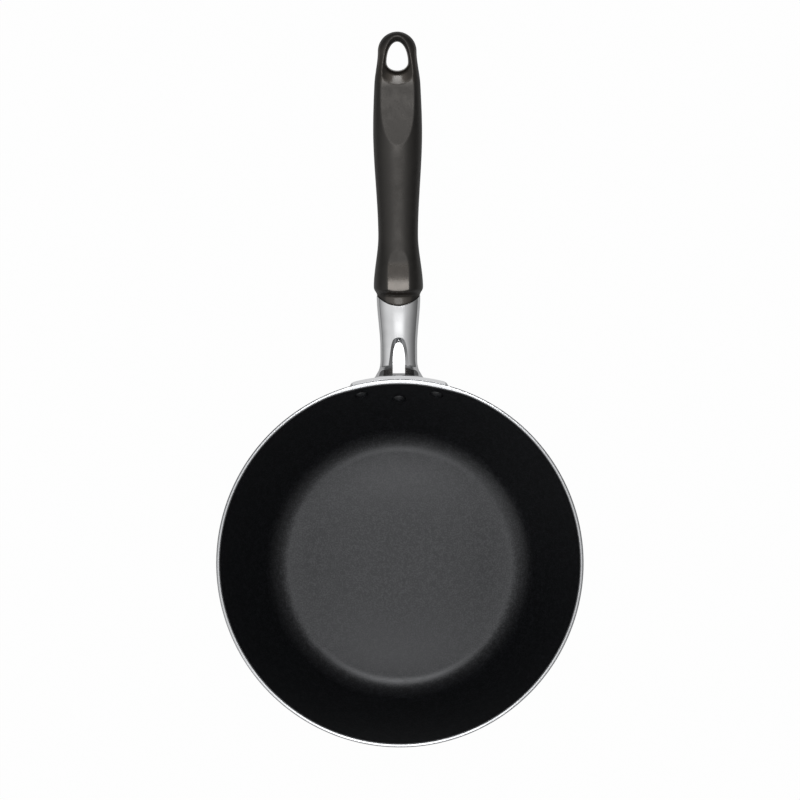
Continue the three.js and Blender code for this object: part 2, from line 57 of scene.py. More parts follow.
Colour = tuple[float, float, float, float]
Point = tuple[float, float]
Piece = bpy.types.Object
Shader = bpy.types.ShaderNodeBsdfPrincipled
Vertex = bmesh.types.BMVert


class Join(Enum):
    """How one solid is combined with another."""

    ADD = "UNION"
    CUT = "DIFFERENCE"
    KEEP = "INTERSECT"


class Wire:
    """A shader socket that Python expressions can join with numbers and other sockets."""

    def __init__(self, paint: "Paint", socket: bpy.types.NodeSocket) -> None:
        """Keep the node tree's owner and the socket that gives the value."""
        self.paint = paint
        self.socket = socket

    def join(self, operation: str, first: "Wire | float", second: "Wire | float") -> "Wire":
        """Add a Math node for two values and give its result."""
        return self.paint.node("ShaderNodeMath", {"operation": operation}, {0: first, 1: second})

    def __add__(self, other: "Wire | float") -> "Wire":
        """Sum."""
        return self.join("ADD", self, other)

    def __radd__(self, other: float) -> "Wire":
        """Sum with a number in front."""
        return self.join("ADD", other, self)

    def __sub__(self, other: "Wire | float") -> "Wire":
        """Difference."""
        return self.join("SUBTRACT", self, other)

    def __rsub__(self, other: float) -> "Wire":
        """Difference from a number."""
        return self.join("SUBTRACT", other, self)

    def __mul__(self, other: "Wire | float") -> "Wire":
        """Product."""
        return self.join("MULTIPLY", self, other)

    def __rmul__(self, other: float) -> "Wire":
        """Product with a number in front."""
        return self.join("MULTIPLY", other, self)

    def __truediv__(self, other: "Wire | float") -> "Wire":
        """Quotient."""
        return self.join("DIVIDE", self, other)

    def __pow__(self, other: "Wire | float") -> "Wire":
        """Power."""
        return self.join("POWER", self, other)

    def __rpow__(self, other: float) -> "Wire":
        """Power of a number."""
        return self.join("POWER", other, self)

    def most(self, other: "Wire | float") -> "Wire":
        """Larger of two values."""
        return self.join("MAXIMUM", self, other)


class Paint:
    """The node tree of a material or of the world."""

    def __init__(self, owner: bpy.types.ID) -> None:
        """Turn on the owner's nodes and keep its tree."""
        owner.use_nodes = True
        self.tree = owner.node_tree

    def node(
        self,
        kind: str,
        settings: dict[str, object] | None = None,
        sockets: dict[str | int, "Wire | float | Colour"] | None = None,
        output: str | int = 0,
    ) -> Wire:
        """Add a node, set it and feed it.

        Args:
            kind: The node's type.
            settings: Properties of the node, set before its sockets.
            sockets: Values or links for the node's inputs.
            output: Which output is wanted.

        Returns:
            The wanted output.
        """
        made = self.tree.nodes.new(kind)
        for key, value in (settings or {}).items():
            setattr(made, key, value)
        for key, value in (sockets or {}).items():
            self.feed(made.inputs[key], value)
        return Wire(self, made.outputs[output])

    def feed(self, socket: bpy.types.NodeSocket, value: "Wire | float | Colour") -> None:
        """Link a wire to a socket, or set the socket's own value."""
        if isinstance(value, Wire):
            self.tree.links.new(value.socket, socket)
        else:
            socket.default_value = value

    def spot(self) -> Wire:
        """Place of the shaded point in the piece's own frame."""
        return self.node("ShaderNodeTexCoord", output="Object")

    def axes(self, vector: Wire) -> tuple[Wire, Wire, Wire]:
        """Three parts of a vector."""
        parts = self.node("ShaderNodeSeparateXYZ", sockets={0: vector}).socket.node.outputs
        return Wire(self, parts[0]), Wire(self, parts[1]), Wire(self, parts[2])

    def noise(self, spot: Wire, grain: float, detail: float = 2.0) -> Wire:
        """Soft noise whose blobs are about one grain across."""
        sockets = {"Vector": spot, "Scale": 1 / grain, "Detail": detail}
        return self.node("ShaderNodeTexNoise", {"noise_dimensions": "3D"}, sockets)

    def clouds(self, spot: Wire, size: float, low: float = 0.35, high: float = 0.7) -> Wire:
        """Soft clouds of a size, from 0 between them to 1 inside them."""
        return self.between(self.noise(spot, size), low, high)

    def stripes(self, along: Wire, pitch: float, detail: float = 3.0) -> Wire:
        """Noise that changes along one value only."""
        sockets = {"W": along, "Scale": 1 / pitch, "Detail": detail}
        return self.node("ShaderNodeTexNoise", {"noise_dimensions": "1D"}, sockets)

    def between(self, value: Wire, low: float, high: float) -> Wire:
        """Share from 0 to 1 as a value goes from low to high, eased at both ends."""
        settings = {"interpolation_type": "SMOOTHSTEP"}
        return self.node("ShaderNodeMapRange", settings, {"Value": value, "From Min": low, "From Max": high})

    def blend(self, share: Wire, first: Colour, second: Colour) -> Wire:
        """Colour between two others."""
        settings = {"data_type": "RGBA"}
        return self.node("ShaderNodeMix", settings, {0: share, 6: first, 7: second}, output=2)

    def bump(self, height: Wire, depth: float) -> Wire:
        """Normal of a surface that rises by a share of a depth."""
        return self.node("ShaderNodeBump", None, {"Height": height, "Distance": depth, "Strength": 1.0})


class Finish:
    """A surface finish that becomes a material once."""

    def dress(self, shader: Shader, paint: Paint) -> None:
        """Set the shader's sockets; each finish has its own."""
        raise NotImplementedError

    def material(self, name: str) -> bpy.types.Material:
        """Give the finish's material, made at the first call.

        Args:
            name: The material's name.

        Returns:
            The material.
        """
        known = bpy.data.materials.get(name)
        if known:
            return known
        made = bpy.data.materials.new(name)
        paint = Paint(made)
        shader = paint.tree.nodes["Principled BSDF"]
        self.dress(shader, paint)
        return made


@dataclass(frozen=True)
class NonStick(Finish):
    """Black lining with fine pale grains and a slightly pebbled skin."""

    dark: Colour = (0.002, 0.0022, 0.0027, 1)
    pale: Colour = (0.0068, 0.0078, 0.011, 1)
    grain: float = 0.9 * MM
    cloud: float = 3.2 * MM
    fine_share: float = 0.75
    grain_low: float = 0.42
    grain_high: float = 0.66
    roughness: float = 0.4
    roughness_spread: float = 0.16
    pebble: float = 0.03 * MM
    body_gloss: float = 0.7
    grain_gloss: float = 0.7
    tint: Colour = (0.95, 0.965, 1.0, 1)

    def dress(self, shader: Shader, paint: Paint) -> None:
        """Grains in colour, gloss and relief."""
        spot = paint.spot()
        fine = paint.noise(spot, self.grain)
        cloud = paint.noise(spot, self.cloud)
        mixed = fine * self.fine_share + cloud * (1 - self.fine_share)
        grains = paint.between(mixed, self.grain_low, self.grain_high)
        smoothest = self.roughness - self.roughness_spread / 2
        paint.feed(shader.inputs["Base Color"], paint.blend(grains, self.dark, self.pale))
        paint.feed(shader.inputs["Roughness"], smoothest + grains * self.roughness_spread)
        paint.feed(shader.inputs["Coat Weight"], grains * self.grain_gloss)
        paint.feed(shader.inputs["Normal"], paint.bump(fine, self.pebble))
        shader.inputs["Specular IOR Level"].default_value = self.body_gloss
        shader.inputs["Specular Tint"].default_value = self.tint
        shader.inputs["Coat Roughness"].default_value = self.roughness


@dataclass(frozen=True)
class SpunAluminium(Finish):
    """Bare aluminium with fine rings left by spinning and turning."""

    colour: Colour = (0.74, 0.75, 0.765, 1)
    dull: Colour = (0.6, 0.61, 0.63, 1)
    roughness: float = 0.16
    pitch: float = 0.35 * MM
    relief: float = 0.004 * MM
    ring_dullness: float = 0.3
    ring_roughness: float = 0.12
    cloud: float = 18 * MM
    cloud_dullness: float = 0.4
    cloud_roughness: float = 0.05

    def dress(self, shader: Shader, paint: Paint) -> None:
        """Rings about the bowl's axis in gloss and relief, under a faint cloudiness."""
        spot = paint.spot()
        x, y, z = paint.axes(spot)
        radius = (x * x + y * y) ** 0.5
        rings = paint.stripes(radius + z, self.pitch)
        cloud = paint.clouds(spot, self.cloud)
        dullness = cloud * self.cloud_dullness + rings * self.ring_dullness
        roughness = self.roughness + rings * self.ring_roughness + cloud * self.cloud_roughness
        paint.feed(shader.inputs["Base Color"], paint.blend(dullness, self.colour, self.dull))
        paint.feed(shader.inputs["Roughness"], roughness)
        paint.feed(shader.inputs["Normal"], paint.bump(rings, self.relief))
        shader.inputs["Metallic"].default_value = 1.0


@dataclass(frozen=True)
class Polished(Finish):
    """Polished metal with a faint unevenness and a few hairline marks."""

    colour: Colour = (0.83, 0.835, 0.845, 1)
    worn: Colour = (0.7, 0.705, 0.715, 1)
    roughness: float = 0.05
    cloud: float = 9 * MM
    cloud_wear: float = 0.35
    cloud_roughness: float = 0.04
    hair: float = 0.5 * MM
    hair_detail: float = 4.0
    hair_low: float = 0.6
    hair_high: float = 0.75
    hair_roughness: float = 0.03

    def dress(self, shader: Shader, paint: Paint) -> None:
        """Gloss that varies slightly from place to place."""
        spot = paint.spot()
        cloud = paint.clouds(spot, self.cloud)
        hairs = paint.between(paint.noise(spot, self.hair, self.hair_detail), self.hair_low, self.hair_high)
        roughness = self.roughness + cloud * self.cloud_roughness + hairs * self.hair_roughness
        paint.feed(shader.inputs["Base Color"], paint.blend(cloud * self.cloud_wear, self.colour, self.worn))
        paint.feed(shader.inputs["Roughness"], roughness)
        shader.inputs["Metallic"].default_value = 1.0


@dataclass(frozen=True)
class Patch:
    """A part of the grip's top whose mould was polished."""

    at: float
    half_width: float
    half_length: float
    full_width: float = 0.9
    full_length: float = 0.5

    def share(self, spot: Wire, paint: Paint) -> Wire:
        """Where the patch lies.

        Args:
            spot: Place of the shaded point.
            paint: The material's tree.

        Returns:
            A share that is 1 in the patch's middle and fades towards its sides and ends.
        """
        x, y, _ = paint.axes(spot)
        ahead = y - self.at
        from_line, from_middle = (x * x) ** 0.5, (ahead * ahead) ** 0.5
        across = 1 - paint.between(from_line, self.full_width * self.half_width, self.half_width)
        along = 1 - paint.between(from_middle, self.full_length * self.half_length, self.half_length)
        return across * along


@dataclass(frozen=True)
class MouldedPlastic(Finish):
    """Matte black thermoset plastic with a fine moulded grain."""

    dark: Colour = (0.007, 0.0068, 0.0065, 1)
    pale: Colour = (0.014, 0.0134, 0.0126, 1)
    grain: float = 0.35 * MM
    grain_detail: float = 3.0
    grain_paleness: float = 0.6
    grain_roughness: float = 0.06
    relief: float = 0.012 * MM
    cloud: float = 6 * MM
    cloud_low: float = 0.3
    cloud_high: float = 0.75
    cloud_paleness: float = 0.4
    cloud_roughness: float = 0.08
    roughness: float = 0.34
    thumb_smoothness: float = 0.24
    facet_smoothness: float = 0.06
    sheen: Colour = (1.0, 0.95, 0.9, 1)
    gloss: float = 0.8
    flat_gloss: float = 0.16
    warmth: Colour = (1.0, 0.92, 0.84, 1)
    thumb: Patch = Patch(at=185.5 * MM, half_width=7.4 * MM, half_length=12 * MM)
    nose: Patch = Patch(at=170 * MM, half_width=9 * MM, half_length=8 * MM)
    facet: Patch = Patch(at=283 * MM, half_width=12 * MM, half_length=28 * MM)
    eye: Patch = Patch(at=320 * MM, half_width=13 * MM, half_length=15 * MM)

    def dress(self, shader: Shader, paint: Paint) -> None:
        """Grain in relief, with slightly shinier patches where the mould was smoother."""
        spot = paint.spot()
        fine = paint.noise(spot, self.grain, self.grain_detail)
        cloud = paint.clouds(spot, self.cloud, self.cloud_low, self.cloud_high)
        thumb, facet = self.thumb.share(spot, paint), self.facet.share(spot, paint)
        paleness = fine * self.grain_paleness + cloud * self.cloud_paleness
        grainy = self.roughness + cloud * self.cloud_roughness + fine * self.grain_roughness
        smoothness = thumb * self.thumb_smoothness + facet * self.facet_smoothness
        bright = thumb + self.nose.share(spot, paint) + self.eye.share(spot, paint)
        paint.feed(shader.inputs["Base Color"], paint.blend(paleness, self.dark, self.pale))
        paint.feed(shader.inputs["Roughness"], grainy - smoothness)
        paint.feed(shader.inputs["Coat Weight"], bright)
        paint.feed(shader.inputs["Normal"], paint.bump(fine, self.relief))
        shader.inputs["Coat Roughness"].default_value = self.flat_gloss
        shader.inputs["Coat Tint"].default_value = self.warmth
        shader.inputs["Specular IOR Level"].default_value = self.gloss
        shader.inputs["Specular Tint"].default_value = self.sheen


@dataclass(frozen=True)
class PlainMetal(Finish):
    """Satin metal of small fasteners."""

    colour: Colour = (0.68, 0.69, 0.71, 1)
    dull: Colour = (0.5, 0.51, 0.53, 1)
    roughness: float = 0.28
    cloud: float = 1.5 * MM
    cloud_roughness: float = 0.12

    def dress(self, shader: Shader, paint: Paint) -> None:
        """Slight differences in colour and gloss."""
        cloud = paint.clouds(paint.spot(), self.cloud)
        paint.feed(shader.inputs["Base Color"], paint.blend(cloud, self.colour, self.dull))
        paint.feed(shader.inputs["Roughness"], self.roughness + cloud * self.cloud_roughness)
        shader.inputs["Metallic"].default_value = 1.0


class Curve:
    """A smooth curve through (place, value) points that never overshoots them."""

    def __init__(self, *points: Point) -> None:
        """Keep the points and work out the slope at each."""
        self.points = points
        pairs = zip(points, points[1:])
        slopes = [0.0, *((b[1] - a[1]) / (b[0] - a[0]) for a, b in pairs), 0.0]
        self.leans = [self.lean(*pair) for pair in zip(slopes, slopes[1:])]

    @staticmethod
    def lean(before: float, after: float) -> float:
        """Slope at a point, from the slopes on both sides of it."""
        return 2 * before * after / (before + after) if before * after > 0 else 0.0

    def __call__(self, place: float) -> float:
        """Give the curve's value at a place; outside the points it stays level.

        Args:
            place: Where along the curve.

        Returns:
            The value there.
        """
        last = len(self.points) - 2
        index = max(0, min(last, sum(p[0] <= place for p in self.points) - 1))
        (x0, y0), (x1, y1) = self.points[index], self.points[index + 1]
        width = x1 - x0
        share = max(0.0, min(1.0, (place - x0) / width))
        lean, rise = self.leans[index] * width, y1 - y0
        bend = rise - lean
        fall = self.leans[index + 1] * width - rise
        return y0 + share * (lean + share * (2 * bend - fall + share * (fall - bend)))


def eased(value: float, low: float, high: float) -> float:
    """Share from 0 to 1 as a value goes from low to high, eased at both ends."""
    share = max(0.0, min(1.0, (value - low) / (high - low)))
    return share * share * (3 - 2 * share)


def shares(count: int) -> list[float]:
    """Equal shares from 0 to 1, both included."""
    return [step / count for step in range(count + 1)]


def rounded(half_width: float, top: float, bottom: float, squareness: float, count: int) -> list[Point]:
    """Points of a rounded section, anticlockwise.

    Args:
        half_width: Reach to each side.
        top: Reach up.
        bottom: Reach down.
        squareness: 2 is an ellipse, more is squarer.
        count: How many points.

    Returns:
        (across, up) of each point.
    """
    def bent(value: float) -> float:
        """Push a cosine or sine out to the squarer shape."""
        return math.copysign(abs(value) ** (2 / squareness), value)

    turns = [2 * math.pi * share for share in shares(count)[:-1]]
    return [
        (half_width * bent(math.cos(turn)), (top if math.sin(turn) > 0 else bottom) * bent(math.sin(turn)))
        for turn in turns
    ]


class Shape:
    """A mesh that bmesh operators shape before it becomes a piece."""

    def __init__(self) -> None:
        """Start with nothing, and with a layer that numbers the points of a ring."""
        self.bm = bmesh.new()
        self.number = self.bm.verts.layers.int.new("number")

    @staticmethod
    def points_of(geometry: Sequence[object]) -> list[Vertex]:
        """Vertices among what an operator gives back."""
        return [item for item in geometry if isinstance(item, Vertex)]

    def point(self, radius: float, height: float) -> Vertex:
        """Start a profile at a radius and a height."""
        return self.bm.verts.new((radius, 0, height))

    def line(self, start: Vertex, radius: float, height: float) -> Vertex:
        """Carry a profile on in a straight stretch, and give its end."""
        end = bmesh.ops.extrude_vert_indiv(self.bm, verts=[start])["verts"][0]
        end.co = (radius, 0, height)
        return end

    def bend(self, start: Vertex, centre: Vector, angle: float, steps: int) -> Vertex:
        """Carry a profile on round a centre.

        Args:
            start: Where the profile ends so far.
            centre: Radius and height of the arc's centre.
            angle: How far it turns, from outward to up.
            steps: How many straight stretches stand for the arc.

        Returns:
            The arc's end.
        """
        middle = (centre.x, 0, centre.y)
        spun = bmesh.ops.spin(
            self.bm, geom=[start], cent=middle, axis=(0, -1, 0), angle=angle, steps=steps
        )
        return self.points_of(spun["geom_last"])[0]

    def dome(self, start: Vertex, rise: float, steps: int) -> None:
        """Carry a profile on in a round cap to the axis.

        Args:
            start: The cap's edge, where the profile ends so far.
            rise: How far the cap stands up, below zero for down.
            steps: How many straight stretches stand for the cap.
        """
        radius = start.co.x
        ball = (radius**2 + rise**2) / (2 * abs(rise))
        middle = start.co.z + rise - math.copysign(ball, rise)
        self.bend(start, Vector((0, middle)), math.copysign(math.asin(radius / ball), rise), steps)

    def close(self, start: Vertex, end: Vertex) -> None:
        """Join a profile's two ends."""
        self.bm.edges.new((end, start))

    def turn(self, steps: int, angle: float = 2 * math.pi, start: float = 0.0) -> None:
        """Turn the profile about the upright axis.

        Args:
            steps: How many steps the turn has.
            angle: How far it turns; a full turn is merged into one skin.
            start: Angle from +X where the turn begins.
        """
        full = math.isclose(angle, 2 * math.pi)
        bmesh.ops.rotate(self.bm, verts=self.bm.verts, cent=(0, 0, 0), matrix=Matrix.Rotation(start, 3, "Z"))
        profile = [*self.bm.verts, *self.bm.edges]
        ends = list(self.bm.edges)
        spun = bmesh.ops.spin(
            self.bm, geom=profile, cent=(0, 0, 0), axis=(0, 0, 1), angle=angle, steps=steps, use_merge=full
        )
        if not full:
            last = [item for item in spun["geom_last"] if isinstance(item, bmesh.types.BMEdge)]
            bmesh.ops.contextual_create(self.bm, geom=ends)
            bmesh.ops.contextual_create(self.bm, geom=last)

    def loft(self, rings: Sequence[Sequence[Vector]]) -> None:
        """Draw a closed skin over rings of equally many points.

        Args:
            rings: The rings in order, each with its points in order.
        """
        count = len(rings[0])
        drawn = bmesh.ops.create_circle(self.bm, segments=count, radius=1.0)["verts"]
        for number, vertex in enumerate(drawn):
            vertex[self.number] = number
            vertex.co = rings[0][number]
        edges = list({edge for vertex in drawn for edge in vertex.link_edges})
        bmesh.ops.contextual_create(self.bm, geom=edges)
        for ring in rings[1:]:
            grown = bmesh.ops.extrude_edge_only(self.bm, edges=edges)["geom"]
            for vertex in self.points_of(grown):
                vertex.co = ring[vertex[self.number]]
            edges = [item for item in grown if isinstance(item, bmesh.types.BMEdge)]
        bmesh.ops.contextual_create(self.bm, geom=edges)

    def prism(self, outline: Sequence[Vector], carry: Vector) -> None:
        """Carry a flat outline along a straight way to make a closed solid."""
        face = self.bm.faces.new([self.bm.verts.new(place) for place in outline])
        grown = bmesh.ops.extrude_face_region(self.bm, geom=[face])["geom"]
        bmesh.ops.translate(self.bm, vec=carry, verts=self.points_of(grown))

    def place(self, matrix: Matrix) -> None:
        """Move the whole shape."""
        bmesh.ops.transform(self.bm, matrix=matrix, verts=self.bm.verts)

    def make(self, name: str) -> Piece:
        """Close seams and poles, point the faces out and make an object.

        Args:
            name: The object's name.

        Returns:
            The object, at the origin, smooth but for its creases.
        """
        bmesh.ops.remove_doubles(self.bm, verts=self.bm.verts, dist=SAME_POINT)
        bmesh.ops.recalc_face_normals(self.bm, faces=self.bm.faces)
        for face in self.bm.faces:
            face.smooth = True
        mesh = bpy.data.meshes.new(name)
        self.bm.to_mesh(mesh)
        self.bm.free()
        mesh.set_sharp_from_angle(angle=CREASE)
        piece = bpy.data.objects.new(name, mesh)
        bpy.context.scene.collection.objects.link(piece)
        return piece


def settle(piece: Piece) -> None:
    """Turn a piece's modifiers into its mesh."""
    graph = bpy.context.evaluated_depsgraph_get()
    mesh = bpy.data.meshes.new_from_object(piece.evaluated_get(graph), depsgraph=graph)
    old = piece.data
    piece.modifiers.clear()
    piece.data = mesh
    mesh.name = piece.name
    bpy.data.meshes.remove(old)


def combine(piece: Piece, how: Join, *tools: Shape) -> None:
    """Add, cut or keep what a piece has in common with other solids.

    Args:
        piece: The solid that stays.
        how: What to do with each tool.
        tools: Solids that are used up.
    """
    for tool in tools:
        helper = tool.make("helper")
        modifier = piece.modifiers.new(how.name, "BOOLEAN")
        modifier.operation = how.value
        modifier.solver = "EXACT"
        modifier.object = helper
        settle(piece)
        bpy.data.meshes.remove(helper.data)
    piece.data.set_sharp_from_angle(angle=CREASE)


def melt(piece: Piece, grain: float, passes: int) -> None:
    """Give a piece one even skin and round its edges, as casting, moulding and polishing do.

    Args:
        piece: The solid.
        grain: Size of the new faces.
        passes: How often the skin is smoothed.
    """
    modifier = piece.modifiers.new("skin", "REMESH")
    modifier.mode = "VOXEL"
    modifier.voxel_size = grain
    settle(piece)
    skin = bmesh.new()
    skin.from_mesh(piece.data)
    for _ in range(passes):
        bmesh.ops.smooth_vert(
            skin, verts=skin.verts, factor=SMOOTHING, use_axis_x=True, use_axis_y=True, use_axis_z=True
        )
    for face in skin.faces:
        face.smooth = True
    skin.to_mesh(piece.data)
    skin.free()


def stand_for(piece: Piece, node: str, slot: str, *materials: bpy.types.Material) -> None:
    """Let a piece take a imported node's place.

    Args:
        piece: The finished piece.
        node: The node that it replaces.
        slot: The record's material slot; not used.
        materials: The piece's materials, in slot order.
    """
    for material in materials:
        piece.data.materials.append(material)
    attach(piece, BODY)
    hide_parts(node)
    LOG.info("%s: %d faces", piece.name, len(piece.data.polygons))


@dataclass(frozen=True)
class BowlForm:
    """Sizes of the bowl: a flat base, a fillet and one long wall arc up to the rim."""

    rim_radius: float = 120 * MM
    height: float = 70 * MM
    lip_round: float = 0.9 * MM
    lip_edge: float = 0.2 * MM
    wall: float = 2.2 * MM
    wall_curve: float = 300 * MM
    base_radius: float = 74.6 * MM
    base_thickness: float = 4.2 * MM
    fillet: float = 20 * MM
    pad_overhang: float = 2.9 * MM
    pad_round: float = 0.6 * MM
    flat_depth: float = 0.9 * MM
    flat_half_width: float = 27 * MM
    flat_fade: float = 22 * MM
    flat_foot: float = 30 * MM
    dome: float = 1.2 * MM
    dome_radius: float = 72 * MM
    dome_fullness: int = 4
    dome_fade: int = 2

    @property
    def fillet_centre(self) -> Vector:
        """Centre of the fillet between base and wall."""
        return Vector((self.base_radius, self.base_thickness + self.fillet))

    @property
    def wall_centre(self) -> Vector:
        """Centre of the wall's arc, which meets the fillet smoothly and ends at the rim."""
        rim = Vector((self.rim_radius, self.height - self.lip_round))
        centres = intersect_sphere_sphere_2d(
            self.fillet_centre, self.wall_curve - self.fillet, rim, self.wall_curve + self.wall
        )
        return min(centres, key=lambda centre: centre.x)

    @property
    def join_angle(self) -> float:
        """Angle of the outward normal where the fillet meets the wall."""
        line = self.fillet_centre - self.wall_centre
        return math.atan2(line.y, line.x)

    def wall_angle(self, height: float, offset: float) -> float:
        """Angle of the wall's outward normal at a height, a distance outside the inner face."""
        return math.asin((height - self.wall_centre.y) / (self.wall_curve + offset))

    def radius_at(self, height: float, offset: float) -> float:
        """Radius of the wall at a height, a distance outside the inner face."""
        return self.wall_centre.x + (self.wall_curve + offset) * math.cos(self.wall_angle(height, offset))

    def press(self, shape: Shape) -> None:
        """Crown the base a little, and press the wall flatter behind the bracket.

        Args:
            shape: A turned shape whose inner face moves.
        """
        for vertex in shape.bm.verts:
            x, y, z = vertex.co
            radius = math.hypot(x, y)
            if radius < self.dome_radius and z > self.base_thickness / 2:
                edge = (radius / self.dome_radius) ** self.dome_fullness
                vertex.co.z += self.dome * (1 - edge) ** self.dome_fade
            inside = radius < self.radius_at(max(z, self.flat_foot), self.wall / 2)
            if y > 0 and z > self.flat_foot and inside:
                near = 1 - eased(abs(x), self.flat_half_width, self.flat_half_width + self.flat_fade)
                vertex.co.y -= self.flat_depth * near * eased(z, self.flat_foot, self.height)


@dataclass(frozen=True)
class Bowl:
    """The bowl's bare aluminium body and its black lining."""

    form: BowlForm
    ring_count: int = 4
    ring_pitch: float = 13 * MM
    ring_start: float = 24 * MM
    ring_width: float = 1.6 * MM
    ring_depth: float = 0.6 * MM
    lining: float = 0.35 * MM
    lining_gap: float = 0.05 * MM
    lining_edge: float = 0.2 * MM
    steps: int = 256
    wall_steps: int = 26
    fillet_steps: int = 18
    floor_steps: int = 24
    edge_steps: int = 5

    def underside(self, shape: Shape) -> Vertex:
        """Draw the base's underside with its turned rings, up to the outer fillet.

        Args:
            shape: The bowl's shape, still empty.

        Returns:
            The profile's end.
        """
        form = self.form
        end = shape.point(0, 0)
        for ring in range(self.ring_count):
            start = self.ring_start + ring * self.ring_pitch
            slope = self.ring_width / 4
            end = shape.line(end, start, 0)
            end = shape.line(end, start + slope, self.ring_depth)
            end = shape.line(end, start + self.ring_width - slope, self.ring_depth)
            end = shape.line(end, start + self.ring_width, 0)
        corner = Vector((form.base_radius + form.pad_overhang - form.pad_round, form.pad_round))
        end = shape.line(end, corner.x, 0)
        return shape.bend(end, corner, math.pi / 2, self.edge_steps)

    def side(self, shape: Shape, end: Vertex, offset: float, top: float) -> Vertex:
        """Draw the inner side downwards from the top to the base.

        Args:
            shape: The shape being drawn.
            end: The profile's end, at the top of the side.
            offset: Distance outside the inner face, below zero for inside it.
            top: Height where the side begins.

        Returns:
            The profile's end, where the base begins.
        """
        form = self.form
        down = form.join_angle - form.wall_angle(top, offset)
        end = shape.bend(end, form.wall_centre, down, self.wall_steps)
        return shape.bend(end, form.fillet_centre, -math.pi / 2 - form.join_angle, self.fillet_steps)

    def floor(self, shape: Shape, end: Vertex) -> Vertex:
        """Draw the base inwards to the axis in equal steps, and give its middle."""
        radius, height = end.co.x, end.co.z
        for share in shares(self.floor_steps)[1:]:
            end = shape.line(end, radius * (1 - share), height)
        return end

    def body(self) -> Piece:
        """Turn the bowl's whole section, from under the base over the lip to the inner base."""
        form = self.form
        shape = Shape()
        end = self.underside(shape)
        outer = form.fillet + form.wall
        pad_angle = -math.acos(form.pad_overhang / outer)
        foot = form.fillet_centre + outer * Vector((math.cos(pad_angle), math.sin(pad_angle)))
        end = shape.line(end, *foot)
        end = shape.bend(end, form.fillet_centre, form.join_angle - pad_angle, self.fillet_steps)
        lip = form.height - form.lip_round
        rise = form.wall_angle(lip, form.wall) - form.join_angle
        end = shape.bend(end, form.wall_centre, rise, self.wall_steps)
        end = shape.bend(end, Vector((form.rim_radius - form.lip_round, lip)), math.pi / 2, self.edge_steps)
        below = form.height - form.lip_edge
        end = shape.line(end, form.radius_at(form.height, 0) + form.lip_edge, form.height)
        end = shape.line(end, form.radius_at(below, 0), below)
        end = self.side(shape, end, 0, below)
        self.floor(shape, end)
        shape.turn(self.steps)
        form.press(shape)
        return shape.make("bowl_body")

    def skin(self) -> Piece:
        """Turn the lining: a thin skin from the lip's inner edge to the middle of the base."""
        form = self.form
        shape = Shape()
        top = form.height - self.lining_edge
        back, face = -self.lining_gap, -self.lining_gap - self.lining
        start = shape.point(form.radius_at(top, back), top)
        foot = self.floor(shape, self.side(shape, start, back, top))
        edge = shape.line(start, form.radius_at(top, face), top)
        crown = self.floor(shape, self.side(shape, edge, face, top))
        shape.close(foot, crown)
        shape.turn(self.steps)
        form.press(shape)
        return shape.make("bowl_lining")

    def build(self) -> None:
        """Make, dress and place both pieces."""
        aluminium = SpunAluminium().material("spun_aluminium")
        lining = NonStick().material("nonstick_black")
        stand_for(self.body(), "bowl", "bowl_aluminium", aluminium)
        stand_for(self.skin(), "nonstick_coating", "nonstick", lining)


@dataclass(frozen=True)
class Rivets:
    """Three rivets that hold the bracket: coated heads inside the bowl, bare tails outside."""

    form: BowlForm
    shank: float = 2.5 * MM
    head: float = 4.6 * MM
    head_rise: float = 2.2 * MM
    head_edge: float = 0.3 * MM
    head_seat: float = 0.88 * MM
    tail: float = 4.2 * MM
    tail_rise: float = 1.4 * MM
    tail_edge: float = 0.4 * MM
    tail_seat: float = 5.8 * MM
    spread: float = 25 * MM
    drop: float = 10.5 * MM
    lower_drop: float = 21.5 * MM
    steps: int = 48
    dome_steps: int = 10

    def matrix(self, across: float, drop: float) -> Matrix:
        """Place on the wall, with +Z pointing out of the bowl.

        Args:
            across: Distance to the side of the handle.
            drop: Distance below the rim.

        Returns:
            The rivet's place.
        """
        height = self.form.height - drop
        radius = self.form.radius_at(height, 0)
        turn = math.asin(across / radius)
        where = Vector((across, radius * math.cos(turn), height))
        lean = Matrix.Rotation(self.form.wall_angle(height, 0) - math.pi / 2, 4, "X")
        return Matrix.Translation(where) @ Matrix.Rotation(-turn, 4, "Z") @ lean

    def rivet(self, name: str, matrix: Matrix) -> Piece:
        """Turn one rivet and put it in its place.

        Args:
            name: The piece's name.
            matrix: The rivet's place.

        Returns:
            The piece, whose head has the second material.
        """
        shape = Shape()
        waist = shape.point(self.shank, -self.head_seat)
        brim = shape.line(waist, self.head, -self.head_seat)
        brim = shape.line(brim, self.head, -self.head_seat - self.head_edge)
        shape.dome(brim, -self.head_rise, self.dome_steps)
        neck = shape.line(waist, self.shank, self.tail_seat)
        brim = shape.line(neck, self.tail, self.tail_seat)
        brim = shape.line(brim, self.tail, self.tail_seat + self.tail_edge)
        shape.dome(brim, self.tail_rise, self.dome_steps)
        shape.turn(self.steps)
        for face in shape.bm.faces:
            face.material_index = int(face.calc_center_median().z < 0)
        shape.place(matrix)
        return shape.make(name)

    def build(self) -> None:
        """Make, dress and place the three rivets."""
        bare = PlainMetal().material("rivet_metal")
        coated = NonStick().material("nonstick_black")
        places = {
            "rivet_left": (-self.spread, self.drop),
            "rivet_right": (self.spread, self.drop),
            "rivet_lower": (0.0, self.lower_drop),
        }
        for node, place in places.items():
            piece = self.rivet(node + "_turned", self.matrix(*place))
            stand_for(piece, node, "rivet_metal", bare, coated)


